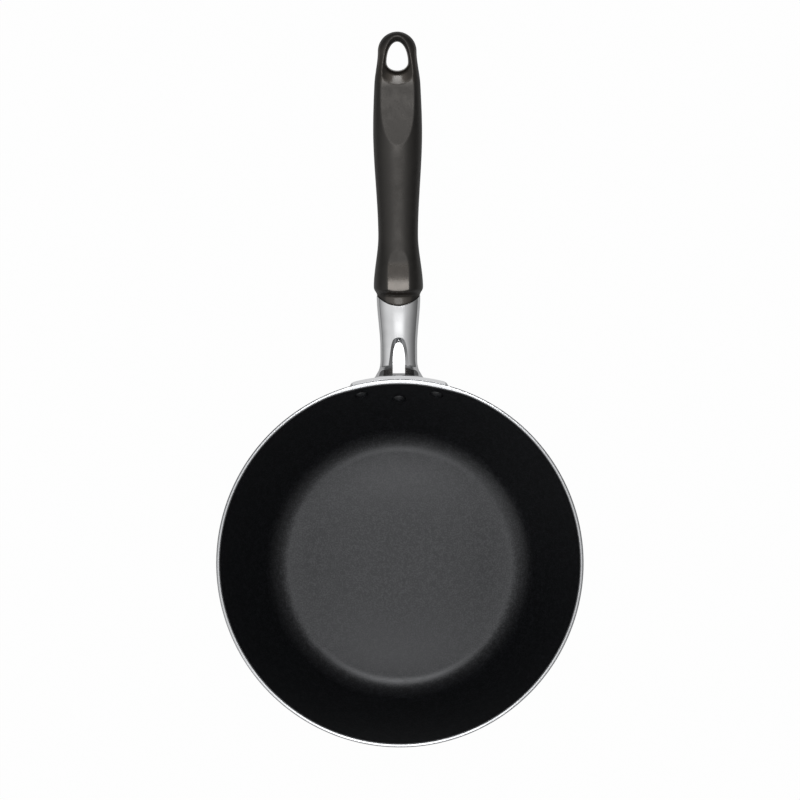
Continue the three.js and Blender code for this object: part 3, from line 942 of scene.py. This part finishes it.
@dataclass(frozen=True)
class HandleForm:
    """Where the handle leaves the wall, how it rises, and where the neck meets the grip."""

    bowl: BowlForm
    fit: float = 0.3 * MM
    drop: float = 22 * MM
    rise: float = math.radians(16)
    neck_length: float = 66.6 * MM
    nose_bow: float = 6 * MM
    lip_half_width: float = 14.2 * MM
    tang_length: float = 54 * MM
    tang_width: float = 13 * MM
    tang_height: float = 8 * MM
    bulkhead: float = 11 * MM
    screw_to_tang_end: float = 12 * MM
    screw_shank: float = 2 * MM
    reach: float = 32 * MM
    far_reach: float = 256 * MM
    nose_steps: int = 40
    bore_steps: int = 48

    @property
    def root(self) -> Vector:
        """Point of the handle's axis on the outside of the wall."""
        height = self.bowl.height - self.drop
        return Vector((0, self.bowl.radius_at(height, self.bowl.wall + self.fit), height))

    @property
    def matrix(self) -> Matrix:
        """Handle frame: +Y runs along the handle from the wall to the eye."""
        return Matrix.Translation(self.root) @ Matrix.Rotation(self.rise, 4, "X")

    @property
    def screw_at(self) -> float:
        """Place of the grip's screw along the handle."""
        return self.neck_length - self.nose_bow + self.tang_length - self.screw_to_tang_end

    def lofted(self, rings: Sequence[Sequence[Vector]]) -> Shape:
        """Draw a closed skin over rings of the handle frame, and put it in its place.

        Args:
            rings: The rings in order, each with its points in order.

        Returns:
            The solid.
        """
        shape = Shape()
        shape.loft(rings)
        shape.place(self.matrix)
        return shape

    def nose_side(self, gap: float) -> Shape:
        """Everything on the grip's side of its bowed nose.

        Args:
            gap: How far the side is moved back towards the bowl.

        Returns:
            A solid to cut or keep with.
        """
        lip = self.neck_length - gap
        far = lip + self.far_reach
        wide, side = self.lip_half_width, self.reach
        # A cubic curve goes three quarters of the way out to its two control points.
        out = lip - 4 / 3 * self.nose_bow
        corners = [(-wide, lip), (-wide / 3, out), (wide / 3, out), (wide, lip)]
        bow = interpolate_bezier(*(Vector((x, y, -side)) for x, y in corners), self.nose_steps)
        ends = [(side, lip), (side, far), (-side, far), (-side, lip)]
        shape = Shape()
        shape.prism([*bow, *(Vector((x, y, -side)) for x, y in ends)], Vector((0, 0, 2 * side)))
        shape.place(self.matrix)
        return shape

    def tang(self, gap: float) -> Shape:
        """Tang inside the grip, or with a gap the pocket that holds it.

        Args:
            gap: Room left all round.

        Returns:
            The tang's solid.
        """
        start = self.neck_length - self.nose_bow - self.bulkhead / 2
        end = self.neck_length - self.nose_bow + self.tang_length + gap
        size = Vector((self.tang_width + 2 * gap, end - start, self.tang_height + 2 * gap))
        shape = Shape()
        bmesh.ops.create_cube(shape.bm, size=1.0)
        shape.place(self.matrix @ Matrix.Translation((0, (start + end) / 2, 0)) @ Matrix.Diagonal((*size, 1)))
        return shape

    def bar(self, radius: float, low: float, high: float) -> Shape:
        """Round bar across the handle at the screw.

        Args:
            radius: Half the bar's width.
            low: Where it begins, from the handle's axis up.
            high: Where it ends.

        Returns:
            The bar's solid.
        """
        shape = Shape()
        size = {"radius1": radius, "radius2": radius, "depth": high - low}
        bmesh.ops.create_cone(shape.bm, cap_ends=True, segments=self.bore_steps, **size)
        shape.place(self.matrix @ Matrix.Translation((0, self.screw_at, (low + high) / 2)))
        return shape


@dataclass(frozen=True)
class Bracket:
    """Polished bracket: a shield hugging the wall, a flared hollow neck with a slot, and a tang."""

    handle: HandleForm
    thickness: float = 3 * MM
    flange_drop: float = 4 * MM
    flange_half_width: float = 32.5 * MM
    flange_height: float = 38 * MM
    flange_shoulder: float = 13 * MM
    flange_corner: float = 6 * MM
    flange_foot: float = 20 * MM
    flange_turn: float = math.radians(40)
    top_trim: float = 1.3 * MM
    neck_wall: float = 3 * MM
    waist_at: float = 27 * MM
    waist: float = 12.2 * MM
    top: float = 6.6 * MM
    bottom: float = 6.6 * MM
    end_width: float = 14.4 * MM
    end_top: float = 7.6 * MM
    end_bottom: float = 7.6 * MM
    squareness: float = 2.7
    flare_length: float = 19 * MM
    flare_side: float = 12.5 * MM
    flare_power: float = 2.3
    flare_fade: float = 1.5
    flare_taper: float = 0.55
    flare_hollow: float = 0.6
    lean_hold: float = 13 * MM
    lean_end: float = 35 * MM
    apron_length: float = 11.2 * MM
    apron_top: float = 9.75 * MM
    apron_power: float = 1.04
    apron_squareness: float = 14
    apron_hold: float = 5 * MM
    apron_end: float = 11 * MM
    slot_start: float = 15.2 * MM
    slot_length: float = 20.6 * MM
    slot_half_width: float = 4.1 * MM
    slot_crown: float = 3.1 * MM
    mouth_start: float = 19.4 * MM
    mouth_length: float = 19.9 * MM
    mouth_half_width: float = 8.1 * MM
    mouth_waist: float = 4.9 * MM
    mouth_crown: float = 6.4 * MM
    mouth_depth: float = 2 * MM
    arch_waist_at: float = 0.58
    slot_steps: int = 24
    ring_points: int = 96
    flare_steps: int = 28
    neck_steps: int = 40
    band_steps: int = 16
    turn_steps: int = 64
    corner_steps: int = 12
    foot_steps: int = 40
    grain: float = 0.4 * MM
    passes: int = 5

    @property
    def lean(self) -> float:
        """How far the flange's face leans from square to the handle."""
        bowl = self.handle.bowl
        return self.handle.rise - bowl.wall_angle(bowl.height - self.handle.drop, bowl.wall)

    @property
    def face(self) -> float:
        """Place of the flange's face along the handle."""
        return self.thickness / math.cos(self.lean)

    @property
    def length(self) -> float:
        """Length of the neck in front of the flange."""
        return self.handle.neck_length - self.face

    @property
    def flange_top(self) -> float:
        """Height of the flange's planed top edge."""
        return self.handle.bowl.height - self.flange_drop

    @property
    def flange_low(self) -> float:
        """Height of the flange's foot."""
        return self.flange_top - self.flange_height

    def neck_ring(self, at: float, inset: float, drop: float) -> list[Vector]:
        """Points of one section of the neck; sections unbend from the flange's face to square.

        Args:
            at: Distance from the flange's face.
            inset: How far inside the outer skin the section lies; above zero for the hollow.
            drop: How far the section is carried down past the neck's underside.

        Returns:
            The section's points in the handle frame.
        """
        share = self.flare_hollow if inset else 1.0
        apron = share * self.apron_top * max(0.0, min(1.0, 1 - at / self.apron_length)) ** self.apron_power
        flare = share * self.flare_side * max(0.0, min(1.0, 1 - at / self.flare_length)) ** self.flare_power
        wide = Curve((0, self.waist), (self.waist_at, self.waist), (self.length, self.end_width))(at)
        high = Curve((0, self.top), (self.waist_at, self.top), (self.length, self.end_top))(at)
        low = Curve((0, self.bottom), (self.waist_at, self.bottom), (self.length, self.end_bottom))(at)
        hug = 1 - eased(at, 0, self.flare_length)
        lean = self.lean * (1 - eased(at, self.lean_hold, self.lean_end))
        flat = 1 - eased(at, self.apron_hold, self.apron_end)
        squareness = self.squareness + flat * (self.apron_squareness - self.squareness)
        crown = high / math.cos(lean) - inset + apron
        ring = []
        for across, up in rounded(1, 1, 1, squareness, self.ring_points):
            x = across * (wide - inset + flare * (1 - self.flare_taper * max(0.0, up)) ** self.flare_fade)
            z = up * (crown if up > 0 else low + drop)
            bow = x**2 / (2 * self.handle.root.y) + z**2 / (2 * self.handle.bowl.wall_curve)
            along = self.face + at + z * math.sin(lean) - hug * bow
            ring.append(Vector((x, along, z * math.cos(lean))))
        return ring

    def neck(self) -> Shape:
        """Outer skin of the neck, rooted inside the flange."""
        # Squared shares set the sections closer together at the flange.
        flare = [share**2 * self.apron_length for share in shares(self.flare_steps)]
        plain = self.length - self.apron_length
        rest = [self.apron_length + plain * share for share in shares(self.neck_steps)[1:]]
        return self.handle.lofted([self.neck_ring(at, 0, 0) for at in [-self.thickness / 2, *flare, *rest]])

    def hollow(self) -> Shape:
        """Hollow of the neck, open below."""
        end = self.length - self.handle.nose_bow - self.handle.bulkhead
        stops = [share * end for share in shares(self.neck_steps)]
        return self.handle.lofted([self.neck_ring(at, self.neck_wall, 2 * self.bottom) for at in stops])

    def arch(self, span: Point, foot: float, waist: float, crown: float, height: float) -> list[Vector]:
        """Outline of an arch that lies across the handle.

        Args:
            span: Places of its straight foot and of its crown along the handle.
            foot: Half width at the foot.
            waist: Half width that the sides draw in to.
            crown: How full the crown is.
            height: Where it lies above the handle's axis.

        Returns:
            The outline's points in the handle frame.
        """
        start, end = span
        draw = start + self.arch_waist_at * (end - start)
        corners = [(foot, start), (waist, draw), (crown, end), (0.0, end)]
        right = interpolate_bezier(*(Vector((x, y, height)) for x, y in corners), self.slot_steps)
        return [*right, *(Vector((-place.x, place.y, height)) for place in reversed(right[:-1]))]

    def slot(self) -> Shape:
        """Slot straight through the neck."""
        reach = self.handle.reach
        span = (self.slot_start, self.slot_start + self.slot_length)
        form = (span, self.slot_half_width, self.slot_half_width, self.slot_crown)
        return self.handle.lofted([self.arch(*form, -reach), self.arch(*form, reach)])

    def mouth(self) -> Shape:
        """Sloping mouth of the slot in the neck's top."""
        inner = (self.mouth_start, self.slot_start + self.slot_length)
        outer = (self.mouth_start, self.mouth_start + self.mouth_length)
        low = (inner, self.slot_half_width, self.slot_half_width, self.slot_crown)
        wide = (outer, self.mouth_half_width, self.mouth_waist, self.mouth_crown)
        return self.handle.lofted([
            self.arch(*low, self.top - self.mouth_depth),
            self.arch(*wide, self.top),
            self.arch(*wide, self.handle.reach),
        ])

    def band(self) -> Shape:
        """Piece of a ring that hugs the wall, wider than the flange."""
        bowl = self.handle.bowl
        low, top = self.flange_low, self.flange_top + self.top_trim
        near = bowl.wall + self.handle.fit
        far = near + self.thickness
        shape = Shape()
        start = shape.point(bowl.radius_at(low, far), low)
        rise = bowl.wall_angle(top, far) - bowl.wall_angle(low, far)
        end = shape.bend(start, bowl.wall_centre, rise, self.band_steps)
        end = shape.line(end, bowl.radius_at(top, near), top)
        fall = bowl.wall_angle(low, near) - bowl.wall_angle(top, near)
        end = shape.bend(end, bowl.wall_centre, fall, self.band_steps)
        shape.close(start, end)
        shape.turn(self.turn_steps, self.flange_turn, math.pi / 2 - self.flange_turn / 2)
        return shape

    def plane(self) -> Shape:
        """Ring that planes the flange's top edge flat."""
        bowl = self.handle.bowl
        low = self.flange_top
        high = low + self.thickness
        far = bowl.radius_at(low, bowl.wall + self.handle.fit + self.thickness) + self.handle.fit
        near = bowl.radius_at(low, 0)
        shape = Shape()
        start = shape.point(near, low)
        end = shape.line(start, far, low)
        end = shape.line(end, far, high)
        end = shape.line(end, near, high)
        shape.close(start, end)
        shape.turn(self.turn_steps, self.flange_turn, math.pi / 2 - self.flange_turn / 2)
        return shape

    def shield(self) -> Shape:
        """Outline of the flange carried out through the band."""
        low, top = self.flange_low, self.flange_top + self.top_trim
        wide, corner = self.flange_half_width, self.flange_corner
        shoulder = self.flange_top - self.flange_shoulder
        belly = (shoulder + low) / 2
        third = corner / 3
        upper = [(wide - corner, top), (wide - third, top), (wide, top - third), (wide, top - corner)]
        lower = [(wide, shoulder), (wide, belly), (self.flange_foot, low), (0, low)]
        half = []
        for corners, steps in ((upper, self.corner_steps), (lower, self.foot_steps)):
            half += interpolate_bezier(*(Vector((x, 0, z)) for x, z in corners), steps)
        other = [Vector((-place.x, 0, place.z)) for place in reversed(half[:-1])]
        shape = Shape()
        shape.prism([*half, *other], Vector((0, 2 * self.handle.bowl.rim_radius, 0)))
        return shape

    def build(self) -> None:
        """Make, dress and place the bracket."""
        piece = self.band().make("bracket_casting")
        combine(piece, Join.KEEP, self.shield())
        neck = self.neck().make("neck")
        combine(neck, Join.CUT, self.hollow())
        joined = Shape()
        joined.bm.from_mesh(neck.data)
        bpy.data.meshes.remove(neck.data)
        combine(piece, Join.ADD, joined)
        melt(piece, self.grain, self.passes)
        nose = self.handle.nose_side(self.handle.fit)
        combine(piece, Join.CUT, self.slot(), self.mouth(), self.plane(), nose)
        combine(piece, Join.ADD, self.handle.tang(0))
        stand_for(piece, "handle_bracket", "bracket_metal", Polished().material("polished_metal"))


@dataclass(frozen=True)
class Grip:
    """Moulded grip: bowed nose, crest, thumb ramp, waist, belly, top facet and hanging eye.

    A section has three sizes: its half width, and its reach up and down from the handle's axis.
    """

    handle: HandleForm
    length: float = 172.2 * MM
    lip_height: float = 8 * MM
    chamfer: float = 5.2 * MM
    crest_round: float = 0.7 * MM
    crest: tuple[float, float, float] = (16.3 * MM, 13.6 * MM, 11 * MM)
    waist_at: float = 39.5 * MM
    waist: tuple[float, float, float] = (13.1 * MM, 8.8 * MM, 9.8 * MM)
    belly_to_end: float = 64.5 * MM
    belly: tuple[float, float, float] = (16 * MM, 10.2 * MM, 11.2 * MM)
    shoulder_to_end: float = 34 * MM
    shoulder: tuple[float, float, float] = (15 * MM, 9.2 * MM, 8.8 * MM)
    end: tuple[float, float, float] = (12.6 * MM, 7 * MM, 6.8 * MM)
    end_fullness: float = 3.0
    squareness: float = 2.3
    ramp_length: float = 26 * MM
    ramp_depth: float = 1 * MM
    ramp_fade: float = 4.0
    facet_length: float = 39 * MM
    facet_depth: float = 2.3 * MM
    eye_half_width: float = 7 * MM
    eye_to_end: float = 6.4 * MM
    eye_length: float = 19 * MM
    eye_widest: float = 0.28
    eye_flank: float = 3.8 * MM
    eye_slope: float = 8 * MM
    eye_apex_flank: float = 4 * MM
    eye_depth: float = 4.6 * MM
    eye_shoulder: float = 0.49
    eye_shoulder_at: float = 0.25
    eye_squareness: float = 2.0
    screw_head: float = 4.2 * MM
    screw_head_height: float = 2.6 * MM
    screw_sink: float = 1.2 * MM
    ring_points: int = 112
    chamfer_steps: int = 6
    body_steps: int = 120
    end_steps: int = 20
    ramp_steps: int = 24
    facet_steps: int = 30
    screw_steps: int = 48
    screw_dome_steps: int = 10
    grain: float = 0.5 * MM
    passes: int = 3

    @property
    def lip_at(self) -> float:
        """Place along the handle where the grip's lip meets the neck."""
        return self.handle.neck_length

    @property
    def crest_at(self) -> float:
        """Place of the crest behind the nose."""
        return self.lip_at + self.chamfer

    @property
    def end_at(self) -> float:
        """Place of the grip's far end."""
        return self.lip_at + self.length

    @property
    def above(self) -> float:
        """Height that clears the whole grip."""
        return 2 * self.crest[1]

    @property
    def loop_at(self) -> float:
        """Place where the round end begins."""
        return self.end_at - self.end[0]

    def reach(self, which: int) -> Curve:
        """Curve of the half width, top or bottom along the handle.

        Args:
            which: 0 for the half width, 1 for the top and 2 for the bottom.

        Returns:
            The curve.
        """
        lip = (self.handle.lip_half_width, self.lip_height, self.lip_height)
        return Curve(
            (self.lip_at, lip[which]),
            (self.crest_at, self.crest[which]),
            (self.lip_at + self.waist_at, self.waist[which]),
            (self.end_at - self.belly_to_end, self.belly[which]),
            (self.end_at - self.shoulder_to_end, self.shoulder[which]),
            (self.loop_at, self.end[which]),
        )

    def body(self) -> Shape:
        """Plain grip before its cuts."""
        curves = [self.reach(which) for which in range(3)]

        def ring(at: float, width: float = 1.0, height: float = 1.0) -> list[Vector]:
            """Section at a place, narrowed and lowered by shares."""
            wide, high, low = (curve(at) for curve in curves)
            outline = rounded(wide * width, high * height, low * height, self.squareness, self.ring_points)
            return [Vector((x, at, z)) for x, z in outline]

        nose = [self.lip_at - 2 * self.handle.nose_bow, self.lip_at]
        slope = self.chamfer - self.crest_round
        chamfer = [self.lip_at + slope * share for share in shares(self.chamfer_steps)[1:]]
        span = self.loop_at - self.crest_at
        stops = [self.crest_at + span * share for share in shares(self.body_steps)]
        rings = [ring(at) for at in [*nose, *chamfer, *stops]]
        for share in shares(self.end_steps)[1:]:
            turn = share * math.pi / 2
            out = math.sin(turn)
            fullness = max(0.0, 1 - out ** (2 * self.end_fullness)) ** (1 / self.end_fullness)
            rings.append(ring(self.loop_at + self.end[0] * out, math.cos(turn), fullness))
        return self.handle.lofted(rings)

    def top_cut(self, outline: Sequence[Point]) -> Shape:
        """Wedge that planes the grip's top down to an outline seen from the side.

        Args:
            outline: (along, up) of the wedge's corners in the handle frame.

        Returns:
            The wedge's solid.
        """
        side = self.handle.reach
        shape = Shape()
        shape.prism([Vector((-side, at, up)) for at, up in outline], Vector((2 * side, 0, 0)))
        shape.place(self.handle.matrix)
        return shape

    def ramp(self) -> Shape:
        """Thumb ramp: the top planed down behind the crest."""
        top = self.reach(1)
        floor = []
        for share in shares(self.ramp_steps):
            at = self.crest_at + self.ramp_length * share
            floor.append((at, top(at) - self.ramp_depth * (1 - share**self.ramp_fade)))
        front = self.crest_at - self.chamfer
        ends = [(front, self.above), (front, self.crest[1] - self.ramp_depth)]
        return self.top_cut([*ends, *floor, (self.crest_at + self.ramp_length, self.above)])

    @property
    def facet_end(self) -> float:
        """Place where the facet ends at the eye's mouth."""
        return self.end_at - self.eye_to_end - self.eye_length - self.eye_slope

    @property
    def facet_height(self) -> float:
        """Height of the facet at the eye's mouth."""
        return self.reach(1)(self.facet_end) - self.facet_depth

    def facet(self) -> Shape:
        """Facet in front of the eye, carried on as the flat top of the eye."""
        top = self.reach(1)
        start = self.facet_end - self.facet_length
        near = Vector((start, top(start), 0))
        pull = Vector((start + self.facet_length / 2, self.facet_height + self.facet_depth / 4, 0))
        far = Vector((self.facet_end, self.facet_height, 0))
        # Two thirds of the way to one control point makes a cubic of a quadratic curve.
        controls = (near.lerp(pull, 2 / 3), far.lerp(pull, 2 / 3))
        floor = interpolate_bezier(near, *controls, far, self.facet_steps)
        front = (start - self.facet_length / 4, self.above)
        tip = (self.end_at, top(self.end_at) - self.facet_depth / 4)
        back = (self.end_at + self.end[0], self.above)
        return self.top_cut([front, *((place.x, place.y) for place in floor), tip, back])

    def eye_ring(self, grow: float, height: float) -> list[Vector]:
        """Egg outline round the eye, its wide end towards the bowl.

        Args:
            grow: 0 is the hole itself, 1 is the mouth's edge on the facet.
            height: Where it lies above the handle's axis.

        Returns:
            The outline's points in the handle frame.
        """
        slope = grow * self.eye_slope
        low = self.end_at - self.eye_to_end - self.eye_length - slope
        high = self.end_at - self.eye_to_end + grow * self.eye_apex_flank
        middle = low + self.eye_widest * (self.eye_length + slope)
        wide = self.eye_half_width + grow * self.eye_flank
        outline = rounded(wide, high - middle, middle - low, self.eye_squareness, self.ring_points)
        return [Vector((x, middle + y, height)) for x, y in outline]

    def eye(self) -> Shape:
        """Hanging eye: a straight hole under a wide sloping mouth."""
        floor = self.facet_height - self.eye_depth
        fall = (1 - self.eye_shoulder) / (1 - self.eye_shoulder_at)
        # The last ring carries the slope on past the mouth's edge, so that the cut clears the facet.
        return self.handle.lofted([
            self.eye_ring(0, -self.handle.reach),
            self.eye_ring(0, floor),
            self.eye_ring(self.eye_shoulder_at, floor + self.eye_shoulder * self.eye_depth),
            self.eye_ring(2, floor + (1 + fall) * self.eye_depth),
        ])

    @property
    def screw_seat(self) -> float:
        """Height of the screw's seat below the handle's axis."""
        return -self.reach(2)(self.handle.screw_at) + self.screw_head_height + self.screw_sink

    def screw(self) -> Piece:
        """Turn the screw that holds the grip, with a crossed recess in its head."""
        seat = self.screw_seat - self.handle.fit
        brim = self.screw_head_height / 3
        shape = Shape()
        top = shape.point(0, self.handle.tang_height / 2)
        end = shape.line(top, self.handle.screw_shank, self.handle.tang_height / 2)
        end = shape.line(end, self.handle.screw_shank, seat)
        end = shape.line(end, self.screw_head, seat)
        end = shape.line(end, self.screw_head, seat - brim)
        shape.dome(end, brim - self.screw_head_height, self.screw_dome_steps)
        shape.turn(self.screw_steps)
        piece = shape.make("grip_screw_turned")
        for quarter in (0, 1):
            recess = Shape()
            bmesh.ops.create_cube(recess.bm, size=1.0)
            size = Matrix.Diagonal((self.screw_head, self.screw_head / 4, 2 * brim, 1))
            spot = Matrix.Translation((0, 0, seat - self.screw_head_height))
            recess.place(spot @ Matrix.Rotation(quarter * math.pi / 2, 4, "Z") @ size)
            combine(piece, Join.CUT, recess)
        piece.data.transform(self.handle.matrix @ Matrix.Translation((0, self.handle.screw_at, 0)))
        return piece

    def build(self) -> None:
        """Make, dress and place the grip and its screw."""
        handle = self.handle
        piece = self.body().make("grip_moulding")
        combine(piece, Join.KEEP, handle.nose_side(0))
        below = -handle.reach
        counterbore = handle.bar(self.screw_head + handle.fit, below, self.screw_seat)
        through = handle.bar(handle.screw_shank + handle.fit, below, 0)
        cuts = [self.ramp(), self.facet(), self.eye(), handle.tang(handle.fit), through, counterbore]
        combine(piece, Join.CUT, *cuts)
        melt(piece, self.grain, self.passes)
        stand_for(piece, "grip", "grip_plastic", MouldedPlastic().material("black_plastic"))
        steel = PlainMetal(colour=(0.58, 0.585, 0.6, 1), dull=(0.45, 0.455, 0.47, 1))
        stand_for(self.screw(), "grip_screw", "screw_steel", steel.material("screw_steel"))


@dataclass(frozen=True)
class PhotoCamera:
    """Camera high above the bowl, a little behind its axis, looking down at the middle of the picture."""

    form: BowlForm
    height: float = 1.6
    stand: float = -36 * MM
    pixel: float = 0.6565 * MM
    picture: int = 800
    bowl_x: float = 399.6
    bowl_y: float = 561.7
    roll: float = math.radians(0.2)
    sensor: float = 36.0
    sight: float = 100.0

    def build(self) -> None:
        """Add the camera and make it the scene's."""
        rim = self.form.height
        middle = self.picture / 2
        place = Vector((0, self.stand, rim + self.height))
        aim = Vector(((middle - self.bowl_x) * self.pixel, (self.bowl_y - middle) * self.pixel, rim))
        look = aim - place
        data = bpy.data.cameras.new("photo_camera")
        data.sensor_width = self.sensor
        data.lens = self.sensor * look.length / (self.picture * self.pixel)
        data.clip_end = self.sight
        camera = bpy.data.objects.new("photo_camera", data)
        turn = look.to_track_quat("-Z", "Y").to_matrix().to_4x4()
        camera.matrix_world = Matrix.Rotation(-self.roll, 4, "Z") @ Matrix.Translation(place) @ turn
        bpy.context.scene.collection.objects.link(camera)
        bpy.context.scene.camera = camera


@dataclass(frozen=True)
class SoftBox:
    """A flat soft light that faces the object."""

    name: str
    place: tuple[float, float, float]
    width: float
    depth: float
    radiance: float
    aim: tuple[float, float, float] = (0, 0.05, 0.04)

    def build(self) -> None:
        """Add the light."""
        data = bpy.data.lights.new(self.name, "AREA")
        data.shape = "RECTANGLE"
        data.size = self.width
        data.size_y = self.depth
        data.energy = self.radiance * math.pi * self.width * self.depth
        light = bpy.data.objects.new(self.name, data)
        light.visible_camera = False
        turn = (Vector(self.aim) - Vector(self.place)).to_track_quat("-Z", "Y").to_matrix().to_4x4()
        light.matrix_world = Matrix.Translation(self.place) @ turn
        bpy.context.scene.collection.objects.link(light)


@dataclass(frozen=True)
class Studio:
    """White floor, soft boxes, and a dim room with a pale glow, a small window and a pale ceiling."""

    floor_half: float = 6.0
    floor_drop: float = 0.2 * MM
    floor_white: float = 0.985
    floor_mirrored: float = 0.2
    floor_colour: Colour = (0.5, 0.5, 0.5, 1)
    room_level: float = 0.1
    horizon: float = 0.2
    lowest: float = 0.1
    glow_level: float = 0.8
    glow_at: Point = (-0.2, -0.3)
    glow_width: Point = (0.65, 0.4)
    window_level: float = 0.6
    window_at: Point = (0.02, -0.582)
    window_width: Point = (0.12, 0.03)
    ceiling_level: float = 0.38
    ceiling_at: Point = (0.0, 0.08)
    ceiling_width: Point = (0.16, 0.1)
    boxes: tuple[SoftBox, ...] = (
        SoftBox("soft_near", (0, -0.96, 3.46), width=0.9, depth=1.1, radiance=2.6),
        SoftBox("soft_far", (0, 1.35, 3.3), width=1.0, depth=1.1, radiance=6.4),
    )

    def floor(self) -> None:
        """Lay a floor that looks white from the camera and still takes the shadow."""
        shape = Shape()
        bmesh.ops.create_grid(shape.bm, x_segments=1, y_segments=1, size=self.floor_half)
        shape.place(Matrix.Translation((0, 0, -self.floor_drop)))
        piece = shape.make("floor")
        material = bpy.data.materials.new("floor_white")
        paint = Paint(material)
        path = paint.node("ShaderNodeLightPath").socket.node.outputs
        mirrored = Wire(paint, path["Is Glossy Ray"]).most(Wire(paint, path["Is Transmission Ray"]))
        share = (Wire(paint, path["Is Camera Ray"]) * self.floor_white).most(mirrored * self.floor_mirrored)
        matt = paint.node("ShaderNodeBsdfDiffuse", None, {"Color": self.floor_colour})
        white = paint.node("ShaderNodeEmission", None, {"Color": (1, 1, 1, 1), "Strength": 1.0})
        mixed = paint.node("ShaderNodeMixShader", None, {0: share, 1: matt, 2: white})
        paint.feed(paint.tree.nodes["Material Output"].inputs["Surface"], mixed)
        piece.data.materials.append(material)

    @staticmethod
    def lobe(across: Wire, along: Wire, at: Point, width: Point) -> Wire:
        """Round soft patch in two values.

        Args:
            across: The first value.
            along: The second value.
            at: Where the patch is brightest.
            width: How far it reaches in each value.

        Returns:
            A share that is 1 in the middle and fades all round.
        """
        first, second = (across - at[0]) / width[0], (along - at[1]) / width[1]
        return math.e ** (-1 * (first * first + second * second))

    def room(self) -> None:
        """Light the room dimly all round, with a glow in front on the left, a window and a pale ceiling."""
        world = bpy.data.worlds.new("pale_room")
        bpy.context.scene.world = world
        paint = Paint(world)
        right, along, up = paint.axes(paint.node("ShaderNodeTexCoord", output="Generated"))
        glow = self.lobe(right, along, self.glow_at, self.glow_width) * paint.between(up, 0, self.horizon)
        level = up.most(self.lowest)
        window = self.lobe(right / level, along / level, self.window_at, self.window_width)
        ceiling = self.lobe(right / level, along / level, self.ceiling_at, self.ceiling_width)
        openings = window * self.window_level + ceiling * self.ceiling_level
        strength = self.room_level + glow * self.glow_level + openings
        paint.feed(paint.tree.nodes["Background"].inputs["Color"], (1, 1, 1, 1))
        paint.feed(paint.tree.nodes["Background"].inputs["Strength"], strength)

    def build(self) -> None:
        """Add the floor, the room and the lights."""
        bpy.context.scene.view_settings.view_transform = "Standard"
        self.floor()
        self.room()
        for box in self.boxes:
            box.build()


def main() -> None:
    """Build the camera, the studio and every piece of the wok."""
    logging.basicConfig(level=logging.INFO, format="%(name)s: %(message)s")
    form = BowlForm()
    handle = HandleForm(form)
    PhotoCamera(form).build()
    Studio().build()
    for part in (Bowl(form), Rivets(form), Bracket(handle), Grip(handle)):
        part.build()


if __name__ == "__main__":
    main()
